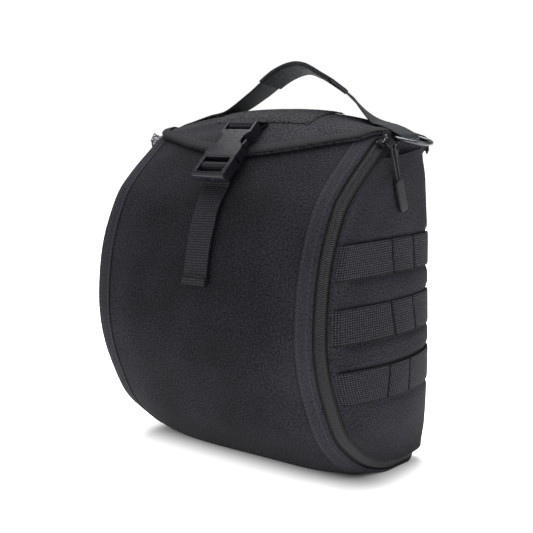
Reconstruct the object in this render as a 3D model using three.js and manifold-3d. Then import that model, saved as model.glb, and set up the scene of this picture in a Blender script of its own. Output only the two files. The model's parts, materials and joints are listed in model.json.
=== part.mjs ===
// Tactical helmet bag. A D-shaped padded shell with a front panel that runs from under the lid,
// down the front and under the base, two zipped sides with webbing rows, a buckled lid and a handle.
// Units are millimetres. +Z is up, the front faces -Y, and the origin is on the floor under the base.
import * as THREE from 'three';
import { mergeVertices } from 'three/addons/utils/BufferGeometryUtils.js';
import Module from 'manifold-3d';

const wasm = await Module();
wasm.setup();

// Driving dimensions of the shell
const PANEL_HALF = 109.75; // half the width of the front panel
const PANEL_HALF_REAR = 106; // the same where the base turns up to the back
const WALL = 2; // padded nylon
const GAP = 0.3; // between neighbours
const CLOTH_GAP = 0.6; // between curved cloth layers
const LID_GAP = 0.7; // between the lid and the panel under it
const LID_HALF = 111;
const LID_CORNER_LIFT = 0.5; // the lid's side edges stand off a little more
const LIP_DROP = 10; // how far they hang down inside the side panels
const LIP_LEAN = 2.2; // and lean in
const BACK_PLANE = 56; // outer face of the back panel, along Y
const BACK_HALF = 107.3;
const BACK_TOP_HALF = 101.6; // it narrows under the lid
const BACK_TAPER = 150; // height where it starts to
const BACK_BOTTOM = 18.2;
const BACK_TOP = 245.6;
const DOME_POWER = 2.4; // how square the cross sections are
const BASE_POWER = 5; // the same at the base, which is flatter
const SIDE_PLANE = 119.75; // X of the side panel where it meets the zip
const SIDE_BELLY = 12.5; // how far the side panel swells
const SIDE_BELLY_HEIGHT = 90;
const SIDE_BELLY_SPREAD = 62;
const SIDE_TOP_RISE = 8.4; // the side's top edge climbs to the back
const SIDE_TOP_LEAN = 4.8; // and leans in there
const SIDE_LEAN_START = 172;
const SIDE_RISE_START = 182;
const SIDE_REAR_EDGE = 55.6; // along Y
const SIDE_DEPTH = 140; // widest, along Y

// Driving dimensions of the webbing, straps and fittings
const WEBBING_WIDTH = 25;
const WEBBING_THICK = 1.6;
const ROW_HEIGHTS = [171.6, 127, 82.7]; // middle of each webbing row above the floor
const TAPE_THICK = 1.0;
const COIL_WIDTH = 5.6;
const COIL_THICK = 1.3;
const BINDING_WIDTH = 7;
const BINDING_THICK = 1.0;
const PATCH_HALF = 50;
const PATCH_THICK = 1.3;
const BUCKLE_THICK = 8.4;
const RING_WIRE = 1.6; // radius
const RING_BAR_X = 115.8;
const RING_BAR_OUT = 1.4;
const RING_TILT = 13; // degrees below level
const HANDLE_SEAT = 1.3; // between the handle's sewn ends and the lid

// Rows of the bag's lengthwise outline, from the lid's rear seam over the top, down the front and
// under the base to the rear seam. The edge columns are at the panel's side edges, the crown columns
// at the middle. Heights below zero are flattened on the floor.
const OUTLINE = [
  [53.6, 246.0, 53.6, 246.0],
  [51.5, 253.5, 51.5, 262.5],
  [42.0, 256.5, 42.0, 270.0],
  [26.0, 257.5, 26.0, 274.5],
  [6.0, 258.5, 6.0, 274.0],
  [-15.4, 257.5, -14.5, 266.5],
  [-35.3, 243.1, -39.0, 248.5],
  [-56.8, 224.9, -59.5, 227.5],
  [-70.6, 208.9, -73.0, 210.2],
  [-82.9, 181.6, -85.0, 182.2],
  [-89.4, 154.6, -91.7, 154.8],
  [-92.0, 122.0, -94.8, 122.0],
  [-89.4, 98.6, -93.0, 97.6],
  [-82.2, 75.8, -87.0, 73.8],
  [-65.8, 42.9, -71.5, 38.5],
  [-44.5, 22.6, -51.0, 14.5],
  [-22.2, 9.0, -29.0, 0.4],
  [3.0, 0.9, -2.0, -1.5],
  [28.0, -0.8, 26.0, -1.5],
  [45.0, 2.0, 45.0, 1.5],
  [54.0, 9.0, 54.0, 9.0],
  [56.0, 17.0, 56.0, 17.0],
].map(([edgeY, edgeZ, crownY, crownZ]) => ({ edgeY, edgeZ, crownY, crownZ }));

// Rows of the handle's arch: place along X, how far it stands off the lid, and in degrees how far it
// leans back and how far its rear edge hangs down. The left leg lies on the lid before it rises.
const HANDLE_ARCH = [
  [-94, 0, 35, 0],
  [-72, 0.2, 35, 0],
  [-54, 1.2, 35, 0],
  [-36, 14.5, 35, 6],
  [-18, 33.9, 35, 12],
  [0, 38.3, 31, 14],
  [18, 33.7, 25, 20],
  [36, 26.1, 22, 20],
  [54, 18.3, 22, 23],
  [72, 8.4, 25, 33],
  [94, 0, 35, 0],
].map(([x, rise, lean, tilt]) => ({ x, rise, lean, tilt }));

// Stations along the outline, in rows of the table
const PANEL_TOP = 4.45;
const PANEL_END = OUTLINE.length - 1;
const ZIP_TOP = 4.55;
const ZIP_END = 19.7;
const SIDE_TOP = 5.56; // where the side panel's zip edge starts
const SIDE_LOW = 17.2; // where it reaches its lowest point
const SLIDER_STATION = 5.05;
const HANDLE_STATION = 3.6;
const PATCH_FRONT = 5.05;
const PATCH_REAR = 2.9;

const lerp = THREE.MathUtils.lerp;
const clamp = THREE.MathUtils.clamp;
const radians = THREE.MathUtils.degToRad;
const smoothstep = THREE.MathUtils.smoothstep;

// Colour and sheen of each material
const NYLON = { color: 0x1d1d1f, roughness: 0.9, metalness: 0 };
const WEBBING = { color: 0x242527, roughness: 0.75, metalness: 0 };
const TAPE = { color: 0x17171a, roughness: 0.85, metalness: 0 };
const PLASTIC = { color: 0x19191b, roughness: 0.35, metalness: 0 };
const METAL = { color: 0x2c2d30, roughness: 0.3, metalness: 0.9 };

const bag = new THREE.Group();

function addPart(name, geometry, finish) {
  const mesh = new THREE.Mesh(geometry, new THREE.MeshStandardMaterial(finish));
  mesh.name = name;
  bag.add(mesh);
  return mesh;
}

// One column of the outline table by a Catmull-Rom curve through its rows
function column(key, station) {
  const t = clamp(station, 0, OUTLINE.length - 1);
  const i = Math.min(Math.floor(t), OUTLINE.length - 2);
  const f = t - i;
  const p1 = OUTLINE[i][key];
  const p2 = OUTLINE[i + 1][key];
  const p0 = i > 0 ? OUTLINE[i - 1][key] : 2 * p1 - p2;
  const p3 = i + 2 < OUTLINE.length ? OUTLINE[i + 2][key] : 2 * p2 - p1;
  const bend = (2 * p0 - 5 * p1 + 4 * p2 - p3) * f * f + (3 * p1 - p0 - 3 * p2 + p3) * f ** 3;
  return 0.5 * (2 * p1 + (p2 - p0) * f + bend);
}

// A point of the body's skin: the crown line in the middle falls away to the edge line at the sides
function skin(station, x) {
  const power = lerp(DOME_POWER, BASE_POWER, smoothstep(station, 12, 16));
  const dome = 1 - Math.abs(x / PANEL_HALF) ** power;
  const y = lerp(column('edgeY', station), column('crownY', station), dome);
  const z = lerp(column('edgeZ', station), column('crownZ', station), dome);
  return new THREE.Vector3(x, y, Math.max(z, 0));
}

// The same point moved out along the skin's normal
function raised(station, x, out) {
  const step = 0.01;
  const reach = 0.1;
  const low = Math.max(station - step, 0);
  const high = Math.min(station + step, PANEL_END);
  const along = skin(high, x).sub(skin(low, x));
  const across = skin(station, x + reach).sub(skin(station, x - reach));
  return skin(station, x).addScaledVector(along.cross(across).normalize(), out);
}

function panelHalf(station) {
  return lerp(PANEL_HALF, PANEL_HALF_REAR, smoothstep(station, 18.4, 19.6));
}

// The direction from the front panel's edge line into the side, as a vector along Y and Z
function intoSide(station) {
  const step = 0.01;
  const y = column('edgeY', station + step) - column('edgeY', station - step);
  const z = column('edgeZ', station + step) - column('edgeZ', station - step);
  return new THREE.Vector2(-z, y).normalize();
}

// The zip edge of a side panel: the front panel's edge line drawn in by the width of the zip
function zipEdge(station) {
  const inset = 7.6 + 3 * ((station - 10.5) / 6) ** 2;
  const edge = new THREE.Vector2(column('edgeY', station), Math.max(column('edgeZ', station), 0));
  return edge.add(intoSide(station).multiplyScalar(inset));
}

// A point of the right side panel: u runs from the zip edge to the rear edge, on level lines. It
// swells over the belly and rolls in towards the rear seam.
function sideSkin(u, station) {
  const edge = zipEdge(Math.min(station, SIDE_LOW));
  const y = lerp(edge.x, SIDE_REAR_EDGE, u);
  const spread = ((edge.y - SIDE_BELLY_HEIGHT) / SIDE_BELLY_SPREAD) ** 2;
  const belly = SIDE_BELLY * Math.exp(-spread) * smoothstep(edge.y, 8, 50);
  const rearward = Math.max(0, 1 - (SIDE_REAR_EDGE - y) / SIDE_DEPTH);
  const roll = 3.5 * rearward ** 3 + 6.5 * rearward ** 14;
  const back = Math.max(0, u - 0.08) ** 2 / (Math.max(0, u - 0.08) + 0.08); // level at the zip
  const rounded = 1 - 0.75 * smoothstep(u, 0.84, 1); // the top rear corner is rounded off
  const rise = SIDE_TOP_RISE * back * rounded * smoothstep(edge.y, SIDE_RISE_START, 240);
  const topLean = SIDE_TOP_LEAN * back * smoothstep(edge.y, SIDE_LEAN_START, 245);
  const x = SIDE_PLANE + belly * Math.sin(Math.PI * u) - roll - topLean;
  return new THREE.Vector3(x, y, edge.y + rise);
}

function sideRaised(u, station, out) {
  const step = 0.004;
  const ahead = Math.min(u + step, 1);
  const behind = Math.max(u - step, 0);
  const lower = Math.min(station + 0.05, SIDE_LOW);
  const upper = lower - lerp(0.4, 2.5, smoothstep(lower, 15, 18)); // the edge runs level at the bottom
  const run = sideSkin(ahead, station).sub(sideSkin(behind, station));
  const down = sideSkin(u, lower).sub(sideSkin(u, upper));
  return sideSkin(u, station).addScaledVector(down.cross(run).normalize(), out);
}

// The station whose zip edge is at a given height
function sideStationAt(height) {
  let low = SIDE_TOP;
  let high = SIDE_LOW;
  for (let i = 0; i < 40; i += 1) {
    const middle = (low + high) / 2;
    if (zipEdge(middle).y > height) low = middle;
    else high = middle;
  }
  return low;
}

function geometryFrom(points, triangles) {
  const geometry = new THREE.BufferGeometry();
  const flat = points.flatMap((p) => [p.x, p.y, p.z]);
  let volume = 0;
  for (const [a, b, c] of triangles) {
    volume += points[a].dot(new THREE.Vector3().crossVectors(points[b], points[c]));
  }
  const index = volume > 0 ? triangles.flat() : triangles.flatMap(([a, b, c]) => [a, c, b]);
  geometry.setAttribute('position', new THREE.Float32BufferAttribute(flat, 3));
  geometry.setIndex(index);
  geometry.computeVertexNormals();
  return geometry;
}

function quad(triangles, a, b, c, d) {
  triangles.push([a, b, c], [a, c, d]);
}

// A closed sheet between an outer and an inner surface, each a function of u and v from 0 to 1
function sheet(outer, inner, uSteps, vSteps) {
  const points = [];
  const triangles = [];
  const rows = uSteps + 1;
  const columns = vSteps + 1;
  for (const face of [outer, inner]) {
    for (let i = 0; i < rows; i += 1) {
      for (let j = 0; j < columns; j += 1) points.push(face(i / uSteps, j / vSteps));
    }
  }
  const top = (i, j) => i * columns + j;
  const under = (i, j) => rows * columns + i * columns + j;
  for (let i = 0; i < uSteps; i += 1) {
    for (let j = 0; j < vSteps; j += 1) {
      quad(triangles, top(i, j), top(i + 1, j), top(i + 1, j + 1), top(i, j + 1));
      quad(triangles, under(i, j), under(i, j + 1), under(i + 1, j + 1), under(i + 1, j));
    }
  }
  for (let i = 0; i < uSteps; i += 1) {
    quad(triangles, top(i, 0), under(i, 0), under(i + 1, 0), top(i + 1, 0));
    quad(triangles, top(i, vSteps), top(i + 1, vSteps), under(i + 1, vSteps), under(i, vSteps));
  }
  for (let j = 0; j < vSteps; j += 1) {
    quad(triangles, top(0, j), top(0, j + 1), under(0, j + 1), under(0, j));
    quad(triangles, top(uSteps, j), under(uSteps, j), under(uSteps, j + 1), top(uSteps, j + 1));
  }
  return geometryFrom(points, triangles);
}

// A round wire bent along a closed curve that lies in one plane with the given normal
function wireLoop(curve, planeNormal, radius, steps, sides) {
  const points = [];
  const triangles = [];
  for (let i = 0; i < steps; i += 1) {
    const centre = curve.getPoint(i / steps);
    const outward = curve.getTangent(i / steps).cross(planeNormal).normalize();
    for (let j = 0; j < sides; j += 1) {
      const turn = (2 * Math.PI * j) / sides;
      const point = centre.clone().addScaledVector(outward, radius * Math.cos(turn));
      points.push(point.addScaledVector(planeNormal, radius * Math.sin(turn)));
    }
  }
  for (let i = 0; i < steps; i += 1) {
    for (let j = 0; j < sides; j += 1) {
      const next = (i + 1) % steps;
      const turn = (j + 1) % sides;
      quad(triangles, i * sides + j, next * sides + j, next * sides + turn, i * sides + turn);
    }
  }
  return geometryFrom(points, triangles);
}

// The same surface with its corners shared, so that it closes
function welded(geometry) {
  const bare = geometry.clone();
  for (const name of Object.keys(bare.attributes)) {
    if (name !== 'position') bare.deleteAttribute(name);
  }
  return mergeVertices(bare, 1e-4);
}

// The mirror image of a piece in the bag's middle plane
function mirrored(geometry) {
  const copy = welded(geometry);
  const position = copy.attributes.position;
  for (let i = 0; i < position.count; i += 1) position.setX(i, -position.getX(i));
  copy.setIndex(Array.from(copy.index.array).reverse()); // so that the faces point outwards again
  copy.computeVertexNormals();
  return copy;
}

function addPair(name, geometry, finish) {
  addPart(`right_${name}`, geometry, finish);
  addPart(`left_${name}`, mirrored(geometry), finish);
}

// Solids for cutting and joining
function solid(geometry) {
  const closed = welded(geometry);
  return new wasm.Manifold(new wasm.Mesh({
    numProp: 3,
    vertProperties: new Float32Array(closed.attributes.position.array),
    triVerts: new Uint32Array(closed.index.array),
  }));
}

function fromSolid(manifold) {
  const mesh = manifold.getMesh();
  const geometry = new THREE.BufferGeometry();
  geometry.setAttribute('position', new THREE.Float32BufferAttribute(mesh.vertProperties, 3));
  geometry.setIndex(Array.from(mesh.triVerts));
  geometry.computeVertexNormals();
  return geometry;
}

// Grid lines crowd towards the two edges, where the surface turns
const nearEdges = (share) => 0.25 * share + 0.75 * Math.sin((Math.PI / 2) * share);

// Front panel: one padded sheet from under the lid, down the front and under the base
function frontPanelFace(out) {
  return (u, v) => {
    const station = lerp(PANEL_TOP, PANEL_END, v);
    return raised(station, nearEdges(lerp(-1, 1, u)) * panelHalf(station), out);
  };
}
addPart('front_panel', sheet(frontPanelFace(0), frontPanelFace(-WALL), 12, 32), NYLON);

// Back panel: flat and plain
const backOutline = new THREE.Shape();
backOutline.moveTo(-BACK_HALF, BACK_BOTTOM);
backOutline.lineTo(BACK_HALF, BACK_BOTTOM);
backOutline.lineTo(BACK_HALF, BACK_TAPER);
backOutline.quadraticCurveTo(BACK_HALF, BACK_TAPER + 30, BACK_TOP_HALF, BACK_TOP);
backOutline.lineTo(-BACK_TOP_HALF, BACK_TOP);
backOutline.quadraticCurveTo(-BACK_HALF, BACK_TAPER + 30, -BACK_HALF, BACK_TAPER);
backOutline.closePath();
const backSheet = { depth: WALL, bevelEnabled: false, curveSegments: 3 };
const backGeometry = new THREE.ExtrudeGeometry(backOutline, backSheet);
const backPanel = addPart('back_panel', backGeometry, NYLON);
backPanel.rotation.x = Math.PI / 2;
backPanel.position.y = BACK_PLANE;

// Side panels: swelled sheets inside the zip, rolled in at the rear seam
const nearRear = (u) => 1 - (1 - u) ** 1.6;
function sidePanelFace(out) {
  return (u, v) => sideRaised(nearRear(u), lerp(SIDE_TOP, SIDE_LOW, v), out);
}
addPair('side_panel', sheet(sidePanelFace(0), sidePanelFace(-WALL), 12, 18), NYLON);

// Lid: sewn to the back, domed over the top, with a tongue that comes down the front and side edges
// that hang down inside the side panels
const LID_COLUMNS = 16;
function lidFront(x) {
  const corner = Math.max(0, (Math.abs(x) - 99) / 12);
  return 6.3 - 1.1 * Math.abs(x / 110) ** 1.8 - 0.5 * corner ** 2;
}
function lidFace(out) {
  return (u, v) => {
    const place = lerp(-1, 1, u) * LID_COLUMNS / (LID_COLUMNS - 2); // beyond 1 it is the hanging lip
    const x = LID_HALF * nearEdges(clamp(place, -1, 1));
    const station = v * lidFront(x);
    const lift = LID_CORNER_LIFT * smoothstep(Math.abs(x), 96, 106);
    const point = raised(station, x, out + lift);
    if (Math.abs(place) < 1.001) return point;
    const hang = smoothstep(station, 0.8, 2.6) * (1 - smoothstep(station, 3.9, 4.4));
    const inner = (WALL + LID_GAP - out) / WALL; // 0 on the outer face, 1 on the inner one
    point.x -= Math.sign(x) * lerp(LIP_LEAN, LIP_LEAN + 1.2, inner) * lerp(0.4, 1, hang);
    point.z -= lerp(1.4, LIP_DROP, hang) + lerp(1.9, 0, inner);
    return point;
  };
}
addPart('top_flap', sheet(lidFace(LID_GAP + WALL), lidFace(LID_GAP), LID_COLUMNS, 20), NYLON);

// Binding: a ribbed tape on the lid's front edge, turned round both corners as far as the handle
const LID_FACE = LID_GAP + WALL;
const BINDING_SIDE_END = 4.4; // station where it stops beside the handle
const BINDING_SIDE_SHARE = 0.06;
const ROW_LENGTH = 27; // length of one row of the outline table at the lid's front
function bindingPath(u) {
  const corner = lidFront(LID_HALF);
  const side = BINDING_SIDE_SHARE;
  if (u < side) return [lerp(BINDING_SIDE_END, corner, u / side), -LID_HALF];
  if (u > 1 - side) return [lerp(corner, BINDING_SIDE_END, (u - 1 + side) / side), LID_HALF];
  const x = LID_HALF * Math.sin((Math.PI / 2) * lerp(-1, 1, (u - side) / (1 - 2 * side)));
  return [lidFront(x), x];
}
function bindingFace(out) {
  return (u, v) => {
    const [station, x] = bindingPath(u);
    const side = smoothstep(Math.abs(x), 92, LID_HALF);
    const inward = (1 - v) * BINDING_WIDTH;
    const rows = (inward / ROW_LENGTH) * (1 - side * smoothstep(lidFront(x) - station, 0, 0.1));
    const inset = x - Math.sign(x) * inward * side;
    const lift = LID_CORNER_LIFT * smoothstep(Math.abs(x), 94, 104);
    return raised(station - rows, inset, out + lift);
  };
}
const bindingOuter = bindingFace(LID_FACE + CLOTH_GAP + BINDING_THICK);
addPart('flap_binding', sheet(bindingOuter, bindingFace(LID_FACE + CLOTH_GAP), 48, 1), WEBBING);

// Loop patch: a fuzzy rectangle on the lid's top
function patchFace(out) {
  return (u, v) => raised(lerp(PATCH_REAR, PATCH_FRONT, v), lerp(-1, 1, u) * PATCH_HALF, out);
}
const patchOuter = patchFace(LID_FACE + GAP + PATCH_THICK);
addPart('loop_patch', sheet(patchOuter, patchFace(LID_FACE + GAP), 6, 8), NYLON);

// Zip tapes: a band tucked under the front panel's edge and under the side panel's edge
const ZIP_STEPS = 32;
const COIL_FIRST = 1; // the teeth start one step below the tape's end
const COIL_STEPS = 25; // and stop where the tape turns under the side
const TAPE_GAP = 0.8;
const TAPE_OUT = -WALL - TAPE_GAP;
const TAPE_TUCK = 4.6; // width hidden under each neighbour
const REAR_TUCK = 2; // the tape goes deeper where the side rolls in
const zipStation = (share) => lerp(ZIP_TOP, ZIP_END, share);
function tapeFace(out) {
  return (u, v) => {
    const station = zipStation(v);
    const half = panelHalf(station);
    const below = Math.max(0, (station - SIDE_LOW) / (ZIP_END - SIDE_LOW)) * 0.8;
    const hem = Math.min(station, SIDE_LOW);
    const tucked = out - REAR_TUCK * below;
    const place = Math.round(u * 3);
    if (place === 0) return raised(station, half - TAPE_TUCK, out);
    if (place === 1) return raised(station, half, out);
    const inside = intoSide(hem).multiplyScalar((place - 2) * TAPE_TUCK);
    return sideRaised(below, hem, tucked).add(new THREE.Vector3(0, inside.x, inside.y));
  };
}
addPair('zip_tape', sheet(tapeFace(TAPE_OUT), tapeFace(TAPE_OUT - TAPE_THICK), 3, ZIP_STEPS), TAPE);

// Zip coils: the closed teeth, a raised strip along the middle of the band
function coilFrame(share) {
  const step = 0.002;
  const inner = (v) => tapeFace(TAPE_OUT)(1 / 3, v);
  const outer = (v) => tapeFace(TAPE_OUT)(2 / 3, v);
  const middle = (v) => inner(v).lerp(outer(v), 0.5);
  const across = outer(share).sub(inner(share)).normalize();
  const run = middle(share + step).sub(middle(Math.max(share - step, 0))).normalize();
  const out = new THREE.Vector3().crossVectors(run, across).normalize();
  return { centre: middle(share), across, run, out };
}
const COIL_SEAT = 0.5;
function coilFace(out) {
  return (u, v) => {
    const frame = coilFrame((COIL_FIRST + v * COIL_STEPS) / ZIP_STEPS);
    const place = frame.centre.addScaledVector(frame.across, lerp(-0.5, 0.5, u) * COIL_WIDTH);
    return place.addScaledVector(frame.out, out);
  };
}
addPair('zip_coil', sheet(coilFace(COIL_SEAT + COIL_THICK), coilFace(COIL_SEAT), 1, COIL_STEPS), TAPE);

// Zip sliders: a cast plate on the coil with a wire bail for the pull tab
const SLIDER_LENGTH = 11;
const SLIDER_WIDTH = 7.4;
const SLIDER_THICK = 2.6;
const SLIDER_GAP = 0.9; // the coil curves under the flat plate
const BAIL_WIRE = 0.7;
const BAIL_HALF = 3.2;
const BAIL_RISE = 2.6;
const BAIL_CENTRE = 0.8; // above the plate
const sliderFrame = coilFrame((SLIDER_STATION - ZIP_TOP) / (ZIP_END - ZIP_TOP));
const sliderSeat = COIL_SEAT + COIL_THICK + SLIDER_GAP;
const sliderOutline = new THREE.Shape();
sliderOutline.moveTo(-SLIDER_WIDTH / 2, -SLIDER_LENGTH / 2);
sliderOutline.quadraticCurveTo(0, -SLIDER_LENGTH * 0.62, SLIDER_WIDTH / 2, -SLIDER_LENGTH / 2);
sliderOutline.lineTo(SLIDER_WIDTH * 0.3, SLIDER_LENGTH / 2);
sliderOutline.lineTo(-SLIDER_WIDTH * 0.3, SLIDER_LENGTH / 2);
sliderOutline.closePath();
function plateOf(outline, thickness) {
  return new THREE.ExtrudeGeometry(outline, { depth: thickness, bevelEnabled: false, curveSegments: 3 });
}
class BailCurve extends THREE.Curve {
  getPoint(share) {
    const turn = 2 * Math.PI * share;
    const height = SLIDER_THICK + BAIL_CENTRE + BAIL_RISE * Math.sin(turn);
    return new THREE.Vector3(0, BAIL_HALF * Math.cos(turn), height);
  }
}
const bail = wireLoop(new BailCurve(), new THREE.Vector3(1, 0, 0), BAIL_WIRE, 14, 6);
const sliderSolid = solid(plateOf(sliderOutline, SLIDER_THICK)).add(solid(bail));
const sliderUp = sliderFrame.run.clone().negate();
const sliderPlace = new THREE.Matrix4().makeBasis(sliderFrame.across, sliderUp, sliderFrame.out);
sliderPlace.setPosition(sliderFrame.centre.clone().addScaledVector(sliderFrame.out, sliderSeat));
addPair('zip_slider', fromSolid(sliderSolid).applyMatrix4(sliderPlace), METAL);

// Zip pulls: a metal tab hooked in the bail, a cord loop through the tab and a moulded grip on the
// cord. They hang down the side, laid back along the panel.
const TAB_LENGTH = 11;
const TAB_WIDTH = 4.6;
const TAB_THICK = 1.1;
const TAB_EYE = 2.9;
const TAB_RIM = 1.3;
const LOOP_LENGTH = 26;
const LOOP_WIRE = 0.9;
const LOOP_HALF = 1.7;
const GRIP_LENGTH = 24.5;
const GRIP_WIDTH = 9;
const GRIP_THICK = 3.4;
const tabRun = new THREE.Vector3(0.7, 0.25, -0.66).normalize();
const hangRun = new THREE.Vector3(0.01, 0.31, -0.95).normalize();
function squareTo(direction, run) {
  return direction.clone().addScaledVector(run, -direction.dot(run)).normalize();
}
function roundedBar(length, width, corner) {
  const outline = new THREE.Shape();
  outline.moveTo(-width / 2 + corner, 0);
  outline.lineTo(width / 2 - corner, 0);
  outline.quadraticCurveTo(width / 2, 0, width / 2, corner);
  outline.lineTo(width / 2, length - corner);
  outline.quadraticCurveTo(width / 2, length, width / 2 - corner, length);
  outline.lineTo(-width / 2 + corner, length);
  outline.quadraticCurveTo(-width / 2, length, -width / 2, length - corner);
  outline.lineTo(-width / 2, corner);
  outline.quadraticCurveTo(-width / 2, 0, -width / 2 + corner, 0);
  return outline;
}
function slotHole(start, length, width) {
  const hole = new THREE.Path();
  hole.moveTo(-width / 2, start);
  hole.lineTo(width / 2, start);
  hole.lineTo(width / 2, start + length);
  hole.lineTo(-width / 2, start + length);
  hole.closePath();
  return hole;
}
// A flat piece that starts at a point and runs along one direction, with its face along another
function flatPull(outline, thickness, start, run, face) {
  const plate = plateOf(outline, thickness);
  plate.translate(0, 0, -thickness / 2);
  const place = new THREE.Matrix4().makeBasis(new THREE.Vector3().crossVectors(run, face), run, face);
  place.setPosition(start);
  return plate.applyMatrix4(place);
}
const bailTop = sliderFrame.centre.clone()
  .addScaledVector(sliderFrame.out, sliderSeat + SLIDER_THICK + BAIL_CENTRE + BAIL_RISE);
const tabOutline = roundedBar(TAB_LENGTH, TAB_WIDTH, 1.2);
tabOutline.holes.push(slotHole(TAB_RIM, 3, TAB_EYE), slotHole(TAB_LENGTH - TAB_RIM - 2.8, 2.8, TAB_EYE));
const tabStart = bailTop.clone().addScaledVector(tabRun, -TAB_RIM - BAIL_WIRE - GAP);
const tabFace = squareTo(sliderFrame.run, tabRun);
addPair('pull_tab', flatPull(tabOutline, TAB_THICK, tabStart, tabRun, tabFace), METAL);

const loopStart = tabStart.clone().addScaledVector(tabRun, TAB_LENGTH - TAB_RIM - LOOP_WIRE - GAP * 2.4);
const loopOff = squareTo(tabFace, hangRun);
const loopPoints = [[0, 0], [1.6, LOOP_HALF], [6, LOOP_HALF * 1.2], [LOOP_LENGTH - 2, LOOP_HALF],
  [LOOP_LENGTH, 0], [LOOP_LENGTH - 2, -LOOP_HALF], [6, -LOOP_HALF * 1.2], [1.6, -LOOP_HALF]];
const loopCurve = new THREE.CatmullRomCurve3(loopPoints.map(([along, off]) => loopStart.clone()
  .addScaledVector(hangRun, along).addScaledVector(loopOff, off)), true);
const loopPlane = new THREE.Vector3().crossVectors(hangRun, loopOff).normalize();
addPair('pull_loop', wireLoop(loopCurve, loopPlane, LOOP_WIRE, 16, 6), WEBBING);

const gripOutline = roundedBar(GRIP_LENGTH, GRIP_WIDTH, 2.4);
const gripStart = loopStart.clone().addScaledVector(hangRun, LOOP_LENGTH + LOOP_WIRE + GAP);
const gripFace = squareTo(new THREE.Vector3(1, 0, 0), hangRun);
addPair('pull_grip', flatPull(gripOutline, GRIP_THICK, gripStart, hangRun, gripFace), PLASTIC);

// Webbing rows: three flat bands across each side
function webbingFace(height, out) {
  return (u, v) => {
    const level = height + lerp(-0.5, 0.5, v) * WEBBING_WIDTH;
    return sideRaised(clamp(nearRear(u), 0.006, 0.985), sideStationAt(level), out);
  };
}
ROW_HEIGHTS.forEach((height, i) => {
  const outer = webbingFace(height, CLOTH_GAP + WEBBING_THICK);
  addPair(`webbing_${i + 1}`, sheet(outer, webbingFace(height, CLOTH_GAP), 12, 2), WEBBING);
});

// Buckle frame: along the slope of the lid's tongue, across, and out of the bag
const buckleTop = new THREE.Vector3(-0.5, -36.4, 269.4);
const buckleEnd = new THREE.Vector3(-0.5, -78.4, 229.4);
const buckleRun = buckleEnd.clone().sub(buckleTop).normalize();
const buckleAcross = new THREE.Vector3(1, 0, 0);
const buckleOut = new THREE.Vector3().crossVectors(buckleAcross, buckleRun).negate().normalize();
const bucklePlace = new THREE.Matrix4().makeBasis(buckleAcross, buckleRun, buckleOut.clone().negate());
bucklePlace.setPosition(buckleTop.clone().addScaledVector(buckleOut, -BUCKLE_THICK / 2));
function bucklePoint(along, height) {
  return buckleTop.clone().addScaledVector(buckleRun, along)
    .addScaledVector(buckleOut, height - BUCKLE_THICK / 2);
}
function buckleSlab(outline, thickness) {
  const sweep = { depth: thickness, bevelEnabled: false, curveSegments: 5 };
  const slab = new THREE.ExtrudeGeometry(outline, sweep);
  slab.translate(0, 0, -thickness / 2);
  return slab;
}

// Buckle socket: an hourglass body with a webbing bar at the top and a pocket for the plug's prongs
const SOCKET_LENGTH = 37;
const SOCKET_TOP_HALF = 15;
const SOCKET_WAIST_HALF = 10;
const SOCKET_MOUTH_HALF = 16.5;
const BAR_SLOT_HALF = 13;
const BAR_SLOT_START = 3.4;
const BAR_SLOT_LENGTH = 5.4;
const BAR_HALF = 1.8; // the webbing bar is thinner than the body
const POCKET_HALF = 13.2;
const POCKET_HEIGHT = 5;
const POCKET_DEPTH = 22;
const socketOutline = new THREE.Shape();
socketOutline.moveTo(-SOCKET_TOP_HALF, 0);
socketOutline.lineTo(SOCKET_TOP_HALF, 0);
socketOutline.lineTo(SOCKET_TOP_HALF, 11);
socketOutline.bezierCurveTo(SOCKET_WAIST_HALF, 13, SOCKET_WAIST_HALF, 20, SOCKET_WAIST_HALF + 1, 22);
socketOutline.bezierCurveTo(SOCKET_MOUTH_HALF - 2, 25, SOCKET_MOUTH_HALF, 27, SOCKET_MOUTH_HALF, 30);
socketOutline.lineTo(SOCKET_MOUTH_HALF, SOCKET_LENGTH);
socketOutline.lineTo(-SOCKET_MOUTH_HALF, SOCKET_LENGTH);
socketOutline.lineTo(-SOCKET_MOUTH_HALF, 30);
socketOutline.bezierCurveTo(-SOCKET_MOUTH_HALF, 27, -SOCKET_MOUTH_HALF + 2, 25, -SOCKET_WAIST_HALF - 1, 22);
socketOutline.bezierCurveTo(-SOCKET_WAIST_HALF, 20, -SOCKET_WAIST_HALF, 13, -SOCKET_TOP_HALF, 11);
socketOutline.closePath();
socketOutline.holes.push(slotHole(BAR_SLOT_START, BAR_SLOT_LENGTH, BAR_SLOT_HALF * 2));
const pocket = new THREE.BoxGeometry(POCKET_HALF * 2, POCKET_DEPTH + 2, POCKET_HEIGHT);
pocket.translate(0, SOCKET_LENGTH - POCKET_DEPTH / 2 + 1, 0);
const barRelief = new THREE.BoxGeometry(BAR_SLOT_HALF * 2, BAR_SLOT_START * 4, BUCKLE_THICK);
const barUpper = barRelief.clone().translate(0, -BAR_SLOT_START, BUCKLE_THICK / 2 + BAR_HALF);
const barLower = barRelief.clone().translate(0, -BAR_SLOT_START, -BUCKLE_THICK / 2 - BAR_HALF);
const socketBlank = solid(buckleSlab(socketOutline, BUCKLE_THICK)).subtract(solid(pocket));
const socketSolid = socketBlank.subtract(solid(barUpper)).subtract(solid(barLower));
addPart('buckle_socket', fromSolid(socketSolid).applyMatrix4(bucklePlace), PLASTIC);

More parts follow.
